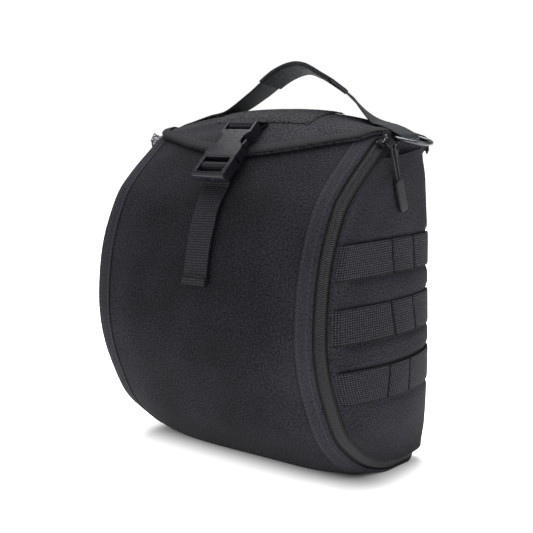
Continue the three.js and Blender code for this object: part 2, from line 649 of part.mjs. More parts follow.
// Buckle plug: a frame with two webbing slots and two prongs that bow out at the socket's waist
const PLUG_START = SOCKET_LENGTH + GAP;
const PLUG_LENGTH = 20.7;
const PLUG_SLOT_HALF = 12.9;
const UPPER_SLOT = [1.6, 5.6]; // start and length
const LOWER_SLOT = [9.6, 7.2];
const PLUG_BAR_HALF = 1.6; // its webbing bar is thinner than the frame
const PLUG_ROUND = 3.2;
const PRONG_THICK = 4.2;
const plugOutline = roundedBar(PLUG_LENGTH, SOCKET_MOUTH_HALF * 2, 2.2);
plugOutline.holes.push(slotHole(UPPER_SLOT[0], UPPER_SLOT[1], PLUG_SLOT_HALF * 2));
plugOutline.holes.push(slotHole(LOWER_SLOT[0], LOWER_SLOT[1], PLUG_SLOT_HALF * 2));
const plugSlab = solid(buckleSlab(plugOutline, BUCKLE_THICK));
const plugSide = new THREE.Shape(); // the frame from the side, with a rounded end
plugSide.moveTo(-BUCKLE_THICK / 2 - 1, -1);
plugSide.lineTo(BUCKLE_THICK / 2 + 1, -1);
plugSide.lineTo(BUCKLE_THICK / 2 + 1, PLUG_LENGTH - PLUG_ROUND);
plugSide.lineTo(BUCKLE_THICK / 2, PLUG_LENGTH - PLUG_ROUND);
plugSide.quadraticCurveTo(BUCKLE_THICK / 2, PLUG_LENGTH, BUCKLE_THICK / 2 - PLUG_ROUND, PLUG_LENGTH);
plugSide.lineTo(-BUCKLE_THICK / 2 + PLUG_ROUND, PLUG_LENGTH);
plugSide.quadraticCurveTo(-BUCKLE_THICK / 2, PLUG_LENGTH, -BUCKLE_THICK / 2, PLUG_LENGTH - PLUG_ROUND);
plugSide.lineTo(-BUCKLE_THICK / 2 - 1, PLUG_LENGTH - PLUG_ROUND);
plugSide.closePath();
const plugEnvelope = buckleSlab(plugSide, SOCKET_MOUTH_HALF * 2 + 2).rotateY(Math.PI / 2);
const plugBarMiddle = (UPPER_SLOT[0] + UPPER_SLOT[1] + LOWER_SLOT[0]) / 2;
const plugRelief = new THREE.BoxGeometry(PLUG_SLOT_HALF * 2, 4, BUCKLE_THICK);
const plugUpper = plugRelief.clone().translate(0, plugBarMiddle, BUCKLE_THICK / 2 + PLUG_BAR_HALF);
const plugLower = plugRelief.clone().translate(0, plugBarMiddle, -BUCKLE_THICK / 2 - PLUG_BAR_HALF);
const plugBlank = plugSlab.intersect(solid(plugEnvelope));
const plugBody = plugBlank.subtract(solid(plugUpper)).subtract(solid(plugLower));
function prong(side) {
  const outline = new THREE.Shape();
  outline.moveTo(side * 8, PLUG_START + 1);
  outline.lineTo(side * 12.6, PLUG_START + 1);
  outline.lineTo(side * 12.6, 24.4);
  outline.quadraticCurveTo(side * 14.4, 22.6, side * 14.6, 18.6);
  outline.lineTo(side * 12.4, 16);
  outline.lineTo(side * 11.2, 22);
  outline.quadraticCurveTo(side * 9.4, 27, side * 8, 30);
  outline.closePath();
  return buckleSlab(outline, PRONG_THICK);
}
const plugFrame = plugBody.translate([0, PLUG_START, 0]);
const plugSolid = plugFrame.add(solid(prong(1))).add(solid(prong(-1)));
addPart('buckle_plug', fromSolid(plugSolid).applyMatrix4(bucklePlace), PLASTIC);

// A strap of even width along a curve: the curve gives the middle of the webbing
function strap(curve, widthAt, steps, thickness) {
  const face = (out) => (u, v) => {
    const { width, normal } = widthAt(u);
    return curve.getPoint(u).addScaledVector(width, lerp(-0.5, 0.5, v) * WEBBING_WIDTH)
      .addScaledVector(normal, out);
  };
  return sheet(face(thickness / 2), face(-thickness / 2), steps, 1);
}
function flatStrap(curve, steps) {
  const width = new THREE.Vector3(1, 0, 0);
  return strap(curve, (u) => ({ width, normal: curve.getTangent(u).cross(width) }), steps, WEBBING_THICK);
}

// Buckle tab: webbing sewn to the lid above the buckle and wrapped round the socket's bar
const LAYER = GAP + WEBBING_THICK;
const tabSeat = LID_FACE + GAP + WEBBING_THICK / 2;
const barMiddle = BAR_SLOT_START / 2;
const barRadius = Math.hypot(barMiddle, BAR_HALF) + GAP + WEBBING_THICK / 2;
function barWrap(turn) {
  return bucklePoint(barMiddle + barRadius * Math.sin(radians(turn)), barRadius * Math.cos(radians(turn)));
}
const tabCurve = new THREE.CatmullRomCurve3([
  raised(5.14, 0, tabSeat), raised(5.22, 0, tabSeat), bucklePoint(-2.4, -barRadius - 1.2),
  ...[170, 130, 90, 45, 0, -40].map(barWrap),
  raised(5.24, 0, tabSeat + LAYER * 1.5), raised(5.13, 0, tabSeat + LAYER),
], false, 'centripetal');
addPart('buckle_tab', flatStrap(tabCurve, 30), WEBBING);

// Front strap: sewn under the buckle, up through the plug, over its bar and down the front
const STRAP_SEAT = GAP + WEBBING_THICK / 2;
const STRAP_END = 10.25;
const STRAP_SLANT = 3;
const plugBarAlong = PLUG_START + plugBarMiddle;
const plugBarWide = (LOWER_SLOT[0] - UPPER_SLOT[0] - UPPER_SLOT[1]) / 2;
const strapRadius = Math.hypot(plugBarWide, PLUG_BAR_HALF) + GAP + WEBBING_THICK / 2;
function plugWrap(turn) {
  const around = radians(turn);
  return bucklePoint(plugBarAlong + strapRadius * Math.sin(around), strapRadius * Math.cos(around));
}
const STRAP_LANDING = 7.45; // station where it comes down on the panel
const lying = [STRAP_LANDING, 7.7, 8.2, 8.7, 9.2, 9.7, STRAP_END].map((station) => {
  const share = (station - STRAP_LANDING) / (STRAP_END - STRAP_LANDING);
  return raised(station, lerp(0, STRAP_SLANT, share), STRAP_SEAT);
});
const slotRim = BUCKLE_THICK / 2;
const strapCurve = new THREE.CatmullRomCurve3([
  raised(6.62, 0, STRAP_SEAT),
  raised(6.72, 0, STRAP_SEAT),
  bucklePoint(plugBarAlong - strapRadius - 0.3, -slotRim - 0.2),
  ...[-90, -45, 0, 45, 90].map(plugWrap),
  bucklePoint(plugBarAlong + strapRadius + 0.4, -slotRim - 0.2),
  ...lying,
], false, 'centripetal');
addPart('front_strap', flatStrap(strapCurve, 48), WEBBING);

// Handle: one length of webbing, sewn over the lid's sides, arched between them and looped round a
// ring bar beyond each side of the lid, with its end against the lid's hanging edge
const handleSeat = LID_FACE + HANDLE_SEAT + WEBBING_THICK / 2;
const handleLine = raised(HANDLE_STATION, HANDLE_ARCH[0].x, handleSeat).y;
const archPoints = HANDLE_ARCH.map(({ x, rise, lean }) => {
  const height = raised(HANDLE_STATION, x, handleSeat).z;
  const back = radians(lean);
  return new THREE.Vector3(x, handleLine + rise * Math.sin(back), height + rise * Math.cos(back));
});
const ringBar = raised(HANDLE_STATION, RING_BAR_X, RING_BAR_OUT);
ringBar.y = handleLine;
const loopRadius = RING_WIRE + 0.4 + WEBBING_THICK / 2;
function ringLoopPoint(turn) {
  const around = radians(turn);
  const reach = new THREE.Vector3(Math.cos(around), 0, Math.sin(around));
  return ringBar.clone().addScaledVector(reach, loopRadius);
}
const sewnPlaces = [99, 103, 107];
const ringEnd = [
  ...sewnPlaces.map((x) => raised(HANDLE_STATION, x, handleSeat)),
  ...[85, 45, 0, -45, -90, -135, -175].map(ringLoopPoint),
];
for (const point of ringEnd) point.y = handleLine;
const leftEnd = ringEnd.map((p) => new THREE.Vector3(-p.x, p.y, p.z)).reverse();
const handlePoints = [...leftEnd, ...archPoints, ...ringEnd];
const handleCurve = new THREE.CatmullRomCurve3(handlePoints, false, 'centripetal');
function handleWidth(u) {
  const { x } = handleCurve.getPoint(u);
  const row = clamp(HANDLE_ARCH.findIndex((place) => place.x > x), 1, HANDLE_ARCH.length - 1);
  const share = clamp((x - HANDLE_ARCH[row - 1].x) / (HANDLE_ARCH[row].x - HANDLE_ARCH[row - 1].x), 0, 1);
  const tilt = radians(lerp(HANDLE_ARCH[row - 1].tilt, HANDLE_ARCH[row].tilt, share));
  const width = new THREE.Vector3(0, Math.cos(tilt), -Math.sin(tilt));
  const normal = handleCurve.getTangent(u).cross(width).negate().normalize();
  return { width, normal };
}
const handleSteps = 2 * handlePoints.length + 14;
addPart('handle_strap', strap(handleCurve, handleWidth, handleSteps, WEBBING_THICK), WEBBING);

// Handle sleeve: cloth wrapped round the middle of the handle, open at its two ends
const SLEEVE_FROM = -27; // along X
const SLEEVE_TO = 48;
const SLEEVE_WALL = 1;
const SLEEVE_GAP = 0.72;
function sleeveRing(u, grow) {
  const { width, normal } = handleWidth(u);
  const centre = handleCurve.getPoint(u);
  const halfWide = WEBBING_WIDTH / 2 + grow;
  const halfThick = WEBBING_THICK / 2 + grow;
  const half = [[1, -0.4], [1, 0.4], [0.94, 1], [-0.94, 1]];
  const corners = [...half, ...half.map(([w, n]) => [-w, -n])];
  return corners.map(([w, n]) => centre.clone()
    .addScaledVector(width, w * halfWide).addScaledVector(normal, n * halfThick));
}
// The place on the handle's arch that is at a given X
function handleShare(x) {
  let low = 0.3;
  let high = 0.7;
  for (let i = 0; i < 40; i += 1) {
    const middle = (low + high) / 2;
    if (handleCurve.getPoint(middle).x < x) low = middle;
    else high = middle;
  }
  return low;
}
function sleeve(from, to, steps) {
  const points = [];
  const triangles = [];
  const sides = 8;
  for (let i = 0; i <= steps; i += 1) {
    const u = lerp(from, to, i / steps);
    points.push(...sleeveRing(u, SLEEVE_GAP + SLEEVE_WALL), ...sleeveRing(u, SLEEVE_GAP));
  }
  const at = (i, layer, j) => i * sides * 2 + layer * sides + (j % sides);
  for (let j = 0; j < sides; j += 1) {
    for (let i = 0; i < steps; i += 1) {
      quad(triangles, at(i, 0, j), at(i, 0, j + 1), at(i + 1, 0, j + 1), at(i + 1, 0, j));
      quad(triangles, at(i, 1, j), at(i + 1, 1, j), at(i + 1, 1, j + 1), at(i, 1, j + 1));
    }
    quad(triangles, at(0, 0, j), at(0, 1, j), at(0, 1, j + 1), at(0, 0, j + 1));
    quad(triangles, at(steps, 0, j), at(steps, 0, j + 1), at(steps, 1, j + 1), at(steps, 1, j));
  }
  return geometryFrom(points, triangles);
}
addPart('handle_sleeve', sleeve(handleShare(SLEEVE_FROM), handleShare(SLEEVE_TO), 11), WEBBING);

// D-rings: bent wire with a straight bar in the webbing loop, lying out over the side
const ringOut = new THREE.Vector3(Math.cos(radians(RING_TILT)), 0, -Math.sin(radians(RING_TILT)));
const ringAlong = new THREE.Vector3(0, 1, 0);
const ringNormal = new THREE.Vector3().crossVectors(ringOut, ringAlong).normalize();
const RING_REACH = 19.9;
const ringArm = [[0, 7], [0, 13], [2.6, 15.7], [9, 14.8], [15, 11.2], [18.7, 5.6]]; // reach, half width
const otherArm = ringArm.map(([reach, half]) => [reach, -half]).reverse();
const ringFull = [[0, 0], ...ringArm, [RING_REACH, 0], ...otherArm];
const ringCurve = new THREE.CatmullRomCurve3(ringFull.map(([reach, along]) => ringBar.clone()
  .addScaledVector(ringOut, reach).addScaledVector(ringAlong, along)), true);
addPair('d_ring', wireLoop(ringCurve, ringNormal, RING_WIRE, 26, 6), METAL);

export default bag;
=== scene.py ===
import json

import bmesh
import bpy
import numpy as np
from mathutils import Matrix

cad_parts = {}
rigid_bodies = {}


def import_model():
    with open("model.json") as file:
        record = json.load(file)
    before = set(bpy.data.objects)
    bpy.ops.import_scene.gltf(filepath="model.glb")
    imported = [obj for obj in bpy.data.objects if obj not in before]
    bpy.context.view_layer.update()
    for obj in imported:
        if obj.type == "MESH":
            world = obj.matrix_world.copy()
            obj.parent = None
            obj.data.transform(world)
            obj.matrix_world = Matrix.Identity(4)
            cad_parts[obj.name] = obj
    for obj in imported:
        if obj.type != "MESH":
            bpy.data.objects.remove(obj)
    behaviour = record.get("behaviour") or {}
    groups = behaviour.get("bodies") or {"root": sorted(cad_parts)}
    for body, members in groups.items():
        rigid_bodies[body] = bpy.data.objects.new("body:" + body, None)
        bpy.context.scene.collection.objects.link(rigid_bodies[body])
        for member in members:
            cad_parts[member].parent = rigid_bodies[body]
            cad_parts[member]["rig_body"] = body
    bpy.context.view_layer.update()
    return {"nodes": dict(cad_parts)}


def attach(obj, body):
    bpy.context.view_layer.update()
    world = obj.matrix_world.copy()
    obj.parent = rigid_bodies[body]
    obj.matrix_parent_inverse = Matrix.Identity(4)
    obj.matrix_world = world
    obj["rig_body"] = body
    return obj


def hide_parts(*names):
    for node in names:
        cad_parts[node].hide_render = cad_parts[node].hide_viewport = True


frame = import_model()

nodes = frame["nodes"]
scene = bpy.context.scene
scene.view_settings.view_transform = "Standard"

# Camera: a long lens that stands to the right of the bag's front and looks down on it a little.
SENSOR, FOCAL, PICTURE = 36, 1017.38, 533  # millimetres, then pixels
LOOKS_DOWN, STANDS_ROUND = np.radians(7.878), np.radians(39.998)
camera_data = bpy.data.cameras.new("camera")
camera_data.sensor_width = SENSOR
camera_data.lens = SENSOR * FOCAL / PICTURE
camera = bpy.data.objects.new("camera", camera_data)
camera.location = (0.5267, -0.6358, 0.2659)
camera.rotation_euler = (np.pi / 2 - LOOKS_DOWN, 0, STANDS_ROUND)
scene.collection.objects.link(camera)
scene.camera = camera

# Front panel: one padded sheet of pebbly black nylon from under the flap, down the curved front and
# under the base. Both long edges are turned in as a broad hem, sewn down with two rows of stitches.
MM = 0.001
WALL = 2.0
PANEL_HALF = 109.75
PANEL_HALF_REAR = 106.0
PANEL_TOP, PANEL_END = 4.45, 21.0
HEM, HEM_SEAMS = 14.2, (3.6, 11.6)  # width of the hem, and its two rows of stitches
EDGE_LINES = (0.25, 0.6, 1.1, 1.8, 2.6, 3.4, 4.2, 5.2, 6.4)  # grid lines close to an edge
HEM_LINES = (11, 11.6, 12.2, 13.2, 13.8, 14.3, 14.9)  # and on both sides of the hem's inner row and step
OUTLINE = np.array([  # edge y, edge z, crown y, crown z
    [53.6, 246.0, 53.6, 246.0], [51.5, 253.5, 51.5, 262.5], [42.0, 256.5, 42.0, 270.0],
    [26.0, 257.5, 26.0, 274.5], [6.0, 258.5, 6.0, 274.0], [-15.4, 257.5, -14.5, 266.5],
    [-35.3, 243.1, -39.0, 248.5], [-56.8, 224.9, -59.5, 227.5], [-70.6, 208.9, -73.0, 210.2],
    [-82.9, 181.6, -85.0, 182.2], [-89.4, 154.6, -91.7, 154.8], [-92.0, 122.0, -94.8, 122.0],
    [-89.4, 98.6, -93.0, 97.6], [-82.2, 75.8, -87.0, 73.8], [-65.8, 42.9, -71.5, 38.5],
    [-44.5, 22.6, -51.0, 14.5], [-22.2, 9.0, -29.0, 0.4], [3.0, 0.9, -2.0, -1.5],
    [28.0, -0.8, 26.0, -1.5], [45.0, 2.0, 45.0, 1.5], [54.0, 9.0, 54.0, 9.0], [56.0, 17.0, 56.0, 17.0]])
NYLON_BLACK = (0.0143, 0.014, 0.0182, 1)
THREAD_BLACK = (0.042, 0.0415, 0.047, 1)


def ramp(v, low, high):
    """Smooth step: 0 below low, 1 above high, 3s^2 - 2s^3 between."""
    s = np.clip((v - low) / (high - low), 0, 1)
    return s * s * (3 - 2 * s)


def dip(v, place, width):
    """A round dip: e to the minus square of the distance from a place, in widths."""
    return np.exp(-((v - place) / width) ** 2)


def unit(v):
    """Vectors divided by their own length."""
    return v / np.linalg.norm(v, axis=-1, keepdims=True)


def outline_at(t):
    """Catmull-Rom curve through the outline's rows at station t, with the ends carried on straight."""
    t = np.clip(np.asarray(t, float), 0, len(OUTLINE) - 1)
    i = np.minimum(t.astype(int), len(OUTLINE) - 2)
    f = (t - i)[..., None]
    rows = np.vstack([2 * OUTLINE[0] - OUTLINE[1], OUTLINE, 2 * OUTLINE[-1] - OUTLINE[-2]])
    a, b, c, d = rows[i], rows[i + 1], rows[i + 2], rows[i + 3]
    bend = (2 * a - 5 * b + 4 * c - d) * f ** 2 + (3 * b - a - 3 * c + d) * f ** 3
    return 0.5 * (2 * b + (c - a) * f + bend)


def skin(t, x):
    """The bag's skin: the crown line in the middle falls to the edge line as 1 minus a power of x."""
    t, x = np.broadcast_arrays(np.asarray(t, float), np.asarray(x, float))
    power = 2.4 + 2.6 * ramp(t, 12, 16)
    dome = 1 - np.abs(x / PANEL_HALF) ** power
    row = outline_at(t)
    y = row[..., 0] + (row[..., 2] - row[..., 0]) * dome
    z = row[..., 1] + (row[..., 3] - row[..., 1]) * dome
    return np.stack([x, y, np.maximum(z, 0)], -1)


def raised(t, x, out):
    """The skin moved out along its normal, which is the cross product of its two tangents."""
    t, x, out = np.broadcast_arrays(*(np.asarray(v, float) for v in (t, x, out)))
    low, high = np.maximum(t - 0.01, 0), np.minimum(t + 0.01, PANEL_END)
    along = skin(high, x) - skin(low, x)
    across = skin(t, x + 0.1) - skin(t, x - 0.1)
    return skin(t, x) + unit(np.cross(along, across)) * out[..., None]


def panel_half(t):
    """Half the front panel's width: it narrows where the base turns up to the back."""
    return PANEL_HALF + (PANEL_HALF_REAR - PANEL_HALF) * ramp(t, 18.4, 19.6)


def run_length(grid, axis):
    """Length along the grid lines of one axis: the running sum of the steps between neighbours."""
    steps = np.linalg.norm(np.diff(grid, axis=axis), axis=-1)
    start = np.zeros_like(np.take(steps, [0], axis=axis))
    return np.concatenate([start, np.cumsum(steps, axis=axis)], axis=axis)


def crowded(count, span, close=EDGE_LINES):
    """Grid places from 0 to 1: even ones, and more at given millimetres from both ends of the span."""
    near = np.array(close) / span
    return np.unique(np.round(np.concatenate([np.linspace(0, 1, count), near, 1 - near]), 6))


def put_mesh(name, points, faces, material, uv=None, values=None):
    """One piece from points in millimetres and four-cornered faces, turned so its volume is positive."""
    corner = points[faces]
    volume = np.einsum("ij,ij->", corner[:, 0], np.cross(corner[:, 1], corner[:, 2]))
    volume += np.einsum("ij,ij->", corner[:, 0], np.cross(corner[:, 2], corner[:, 3]))
    faces = faces if volume > 0 else faces[:, ::-1]
    mesh = bpy.data.meshes.new(name)
    mesh.vertices.add(len(points))
    mesh.vertices.foreach_set("co", (points * MM).astype(np.float32).ravel())
    mesh.loops.add(faces.size)
    mesh.loops.foreach_set("vertex_index", faces.astype(np.int32).ravel())
    mesh.polygons.add(len(faces))
    mesh.polygons.foreach_set("loop_start", np.arange(0, faces.size, 4, dtype=np.int32))
    mesh.update(calc_edges=True)
    if uv is not None:
        layer = mesh.uv_layers.new(name="cloth")
        layer.data.foreach_set("uv", (uv[faces.ravel()] * MM).astype(np.float32).ravel())
    for key, value in (values or {}).items():
        mesh.attributes.new(key, "FLOAT", "POINT").data.foreach_set("value", value.astype(np.float32))
    mesh.shade_smooth()
    mesh.set_sharp_from_angle(angle=np.radians(55))
    piece = bpy.data.objects.new(name, mesh)
    scene.collection.objects.link(piece)
    mesh.materials.append(material)
    return piece


def put_wall(name, outer, inner, material, **lengths):
    """A closed wall: an outer grid, an inner grid turned round, and a strip that joins their rims.
    Its map is the length along the grid's columns and rows; further lengths are kept at each point."""
    rows, columns = outer.shape[:2]
    count = rows * columns
    at = np.arange(count).reshape(rows, columns)
    face = np.stack([at[:-1, :-1], at[1:, :-1], at[1:, 1:], at[:-1, 1:]], -1).reshape(-1, 4)
    rim = np.concatenate([at[0], at[1:, -1], at[-1, -2::-1], at[-2:0:-1, 0]])
    ahead = np.roll(rim, -1)
    strip = np.stack([rim, ahead, ahead + count, rim + count], -1)
    faces = np.concatenate([face, face[:, ::-1] + count, strip])
    uv = np.stack([run_length(outer, 0), run_length(outer, 1)], -1).reshape(-1, 2)
    values = {}
    for key, value in lengths.items():
        flat = np.broadcast_to(value, (rows, columns)).ravel() * MM
        values[key] = np.concatenate([flat, flat])
    points = np.concatenate([outer.reshape(-1, 3), inner.reshape(-1, 3)])
    return put_mesh(name, points, faces, material, np.concatenate([uv, uv]), values)


class Finish:
    """A material and its node tree, with short ways to add nodes and sums."""

    def __init__(self, name, colour, roughness, metallic=0.0, specular=0.3):
        self.material = bpy.data.materials.new(name)
        self.material.use_nodes = True
        self.tree = self.material.node_tree
        self.shader = self.tree.nodes["Principled BSDF"]
        self.shader.inputs["Base Color"].default_value = colour
        self.shader.inputs["Roughness"].default_value = roughness
        self.shader.inputs["Metallic"].default_value = metallic
        self.shader.inputs["Specular IOR Level"].default_value = specular

    def add(self, kind, inputs=None, **settings):
        """One node with its settings and its inputs, which are values or other nodes' outputs."""
        made = self.tree.nodes.new(kind)
        for key, value in settings.items():
            setattr(made, key, value)
        for key, value in (inputs or {}).items():
            if isinstance(value, bpy.types.NodeSocket):
                self.tree.links.new(value, made.inputs[key])
            else:
                made.inputs[key].default_value = value
        return made

    def sum(self, operation, a, b=0.0):
        """One sum of two values."""
        return self.add("ShaderNodeMath", {0: a, 1: b}, operation=operation).outputs[0]

    def spread(self, value, low, high, to_low, to_high):
        """A value carried smoothly from one range to another."""
        inputs = {"Value": value, "From Min": low, "From Max": high, "To Min": to_low, "To Max": to_high}
        return self.add("ShaderNodeMapRange", inputs, interpolation_type="SMOOTHSTEP").outputs[0]

    def mix(self, share, a, b):
        """One colour mixed into another."""
        made = self.add("ShaderNodeMix", data_type="RGBA")
        for index, value in ((0, share), (6, a), (7, b)):
            if isinstance(value, bpy.types.NodeSocket):
                self.tree.links.new(value, made.inputs[index])
            else:
                made.inputs[index].default_value = value
        return made.outputs[2]

    def vector(self, operation, a, b=(0, 0, 0), result="Vector"):
        """One sum of two vectors."""
        return self.add("ShaderNodeVectorMath", {0: a, 1: b}, operation=operation).outputs[result]

    def noise(self, place, scale, detail=2.0):
        """Cloudy noise, with so many clouds to the metre."""
        inputs = {"Vector": place, "Scale": scale, "Detail": detail}
        return self.add("ShaderNodeTexNoise", inputs).outputs["Fac"]

    def cloth(self):
        """The piece's own map, in metres along its two directions."""
        return self.add("ShaderNodeUVMap", uv_map="cloth").outputs[0]

    def value(self, name):
        """One of the piece's own values at each point."""
        return self.add("ShaderNodeAttribute", attribute_name=name).outputs["Fac"]

    def stitches(self, rows):
        """Rows of dashes: within half a millimetre of a given distance from the edge, 3.6 mm apart."""
        edge = self.value("edge")
        beat = self.sum("FRACT", self.sum("MULTIPLY", self.value("run"), 1 / 0.0036))
        dash = self.spread(self.sum("ABSOLUTE", self.sum("SUBTRACT", beat, 0.5)), 0.26, 0.38, 1.0, 0.0)
        rows_seen = None
        for row in rows:
            away = self.sum("ABSOLUTE", self.sum("SUBTRACT", edge, row * MM))
            line = self.spread(away, 0.00035, 0.0008, 1.0, 0.0)
            rows_seen = line if rows_seen is None else self.sum("MAXIMUM", rows_seen, line)
        return self.sum("MULTIPLY", rows_seen, dash)

    def tacked(self, tone):
        """A tone with dark lines: stitching where tacked, painted shade where tucked in, at rims and at a
        strap's end.
        """
        line = self.spread(self.value("tack"), 0.0002, 0.0007, 0.0, 0.9)
        return self.mix(line, tone, (0.002, 0.002, 0.0024, 1))

    def gloss(self, cloud, low, high):
        """Joins clouds of noise to the shader's roughness, between a low and a high one."""
        self.tree.links.new(self.spread(cloud, 0.3, 0.7, low, high), self.shader.inputs["Roughness"])

    def finish(self, colour, height, depth):
        """Joins the colour and a bump of the given depth to the shader."""
        self.tree.links.new(colour, self.shader.inputs["Base Color"])
        bump = self.add("ShaderNodeBump", {"Height": height, "Distance": depth, "Strength": 1.0})
        self.tree.links.new(bump.outputs[0], self.shader.inputs["Normal"])
        return self.material


def times(colour, factor):
    """A colour with its three channels multiplied by a factor."""
    return tuple(factor * c for c in colour[:3]) + (1,)


def nylon(name, colour, rows=(), grain=1.5, contrast=1.0, hem=0.0):
    """Pebbly woven nylon: cells a few threads wide for the weave, flecks and clouds of noise for the
    tone, dashes of thread where it is sewn, and painted light along a hem: the hem painted paler,
    the cloth painted darker from it towards the middle, and a painted shade line along the hem's step."""
    made = Finish(name, colour, 0.85, specular=0.13)
    cloth = made.cloth()
    cell = made.add("ShaderNodeTexVoronoi", {"Vector": cloth, "Scale": 1000 / grain, "Randomness": 0.7},
                    voronoi_dimensions="2D").outputs["Distance"]
    fleck, cloud = made.noise(cloth, 640.0), made.noise(cloth, 26.0, 3.0)
    pebble = made.sum("SUBTRACT", 0.45, cell)
    speck = made.sum("MULTIPLY", made.sum("SUBTRACT", fleck, 0.5), 2.2)
    grainy = made.sum("ADD", pebble, speck)
    broad = made.sum("MULTIPLY", made.sum("SUBTRACT", cloud, 0.5), 0.7)
    shade = made.sum("MULTIPLY", made.sum("ADD", grainy, broad), contrast)
    if hem:
        edge = made.value("edge")
        away = made.sum("ABSOLUTE", made.sum("SUBTRACT", edge, hem * MM))
        # Painted light: the hem paler, the cloth darker away from it, and a painted shade line in its step.
        for painted_light_and_wear in (made.spread(edge, (hem - 0.3) * MM, (hem + 0.3) * MM, 0.3, -0.05),
                     made.spread(edge, hem * MM, 0.06, 0.0, -0.25),
                     made.spread(away, 0.0003, 0.0011, -0.7, 0.0)):
            shade = made.sum("ADD", shade, painted_light_and_wear)
    tone = made.mix(made.spread(shade, -0.8, 0.9, 0.0, 1.0), times(colour, 0.15), times(colour, 2.1))
    height = made.sum("MULTIPLY", grainy, 0.8)
    if rows:
        sewn = made.stitches(rows)
        tone = made.mix(sewn, tone, THREAD_BLACK)
        height = made.sum("ADD", height, sewn)
    return made.finish(tone, height, 0.0004)


across = crowded(121, 2 * PANEL_HALF, close=EDGE_LINES + HEM_LINES) * 2 - 1
down = np.linspace(PANEL_TOP, PANEL_END, 220)
panel_t, panel_s = np.meshgrid(down, across, indexing="ij")
panel_x = panel_s * panel_half(panel_t)
panel_edge = panel_half(panel_t) - np.abs(panel_x)
panel_out = -0.9 * dip(panel_edge, 0, 0.9)
for seam in HEM_SEAMS:
    panel_out -= 0.3 * dip(panel_edge, seam, 1.0)
panel_out += 0.5 * (1 - ramp(panel_edge, HEM - 0.4, HEM + 0.6))
panel_out += 0.25 * np.sin(panel_x / 23 + 0.6 * panel_t) * ramp(panel_edge, 14, 40)
panel_outer = raised(panel_t, panel_x, panel_out)
panel_outer[..., 2] = np.maximum(panel_outer[..., 2], 0)
# The front's nylon carries painted light and shade along both hems.
panel_nylon = nylon("front_nylon", NYLON_BLACK, rows=HEM_SEAMS, hem=HEM)
front = put_wall("front_panel_cloth", panel_outer, raised(panel_t, panel_x, -WALL), panel_nylon,
                 edge=panel_edge, run=run_length(panel_outer, 0))
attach(front, "bag")
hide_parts("front_panel")

# Side panels: padded nylon, swelled outward, sewn to the zip in front and to the back panel in a plain
# rear seam. The left one mirrors the right one.
SIDE_TOP, SIDE_LOW = 5.56, 17.2  # stations on the outline
SIDE_REAR, SIDE_HALF = 55.6, 119.75
ROW_HEIGHTS = (171.6, 127.0, 82.7)  # middle of each webbing row
MIRROR = np.array([-1.0, 1.0, 1.0])
SIDES = (("right", np.ones(3)), ("left", MIRROR))


def into_side(t):
    """The direction from the front panel's edge line into the side: its tangent turned a right angle."""
    step = outline_at(t + 0.01)[..., :2] - outline_at(t - 0.01)[..., :2]
    return unit(np.stack([-step[..., 1], step[..., 0]], -1))


def zip_edge(t):
    """The side panel's zip edge: the front panel's edge line drawn in by the zip's width."""
    row = outline_at(t)
    edge = np.stack([row[..., 0], np.maximum(row[..., 1], 0)], -1)
    return edge + into_side(t) * (7.6 + 3 * ((t - 10.5) / 6) ** 2)[..., None]


def side_skin(u, t):
    """Level lines from the zip edge to the rear edge, swelled by a sine over a bell-shaped belly and
    rolled in by powers of the distance to the rear. The top edge climbs to the rear and leans in."""
    u, t = np.broadcast_arrays(np.asarray(u, float), np.asarray(t, float))
    edge = zip_edge(np.minimum(t, SIDE_LOW))
    y, z = edge[..., 0] + (SIDE_REAR - edge[..., 0]) * u, edge[..., 1]
    belly = 12.5 * dip(z, 90, 62) * ramp(z, 8, 50)
    rearward = np.maximum(0, 1 - (SIDE_REAR - y) / 140)
    roll = 3.5 * rearward ** 3 + 6.5 * rearward ** 14
    past_zip = np.maximum(0, u - 0.08)
    climb = past_zip ** 2 / (past_zip + 0.08)
    x = SIDE_HALF + belly * np.sin(np.pi * u) - roll - 4.8 * climb * ramp(z, 172, 245)
    rise = 8.4 * climb * (1 - 0.75 * ramp(u, 0.84, 1)) * ramp(z, 182, 240)
    return np.stack([x, y, z + rise], -1)


def side_raised(u, t, out):
    """The side's skin moved out along its normal; the step widens where the edge runs level below."""
    u, t, out = np.broadcast_arrays(*(np.asarray(v, float) for v in (u, t, out)))
    lower = np.minimum(t + 0.05, SIDE_LOW)
    upper = lower - (0.4 + 2.1 * ramp(lower, 15, 18))
    run = side_skin(np.minimum(u + 0.004, 1), t) - side_skin(np.maximum(u - 0.004, 0), t)
    fall = side_skin(u, lower) - side_skin(u, upper)
    return side_skin(u, t) + unit(np.cross(fall, run)) * out[..., None]


side_down = SIDE_TOP + (SIDE_LOW - SIDE_TOP) * crowded(110, 260)
side_u, side_t = np.meshgrid(crowded(80, 130), side_down, indexing="ij")
side_flat = side_skin(side_u, side_t)
from_zip = run_length(side_flat, 0)
from_rear = from_zip[-1:] - from_zip
side_edge = np.minimum(from_zip, from_rear)
side_out = -1.0 * dip(side_edge, 0, 0.9)
side_out += 0.3 * np.sin(side_t * 1.7 + 5 * side_u) * ramp(side_edge, 8, 30)
side_z = side_flat[..., 2]
row_off = np.min([np.abs(side_z - height) for height in ROW_HEIGHTS], axis=0)
side_puff = 2.2 * ramp(row_off, 12, 18) * ramp(from_zip, 4, 30) * ramp(from_rear, 0, 9)
side_out += side_puff * ramp(side_z, 6, 34) * ramp(side_z[:, :1] - side_z, 0, 22)
side_outer, side_inner = side_raised(side_u, side_t, side_out), side_raised(side_u, side_t, -WALL)
side_nylon = nylon("side_nylon", NYLON_BLACK)
for name, turn in SIDES:
    side = put_wall(f"{name}_side_cloth", side_outer * turn, side_inner * turn, side_nylon)
    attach(side, "bag")
    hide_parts(f"{name}_side_panel")

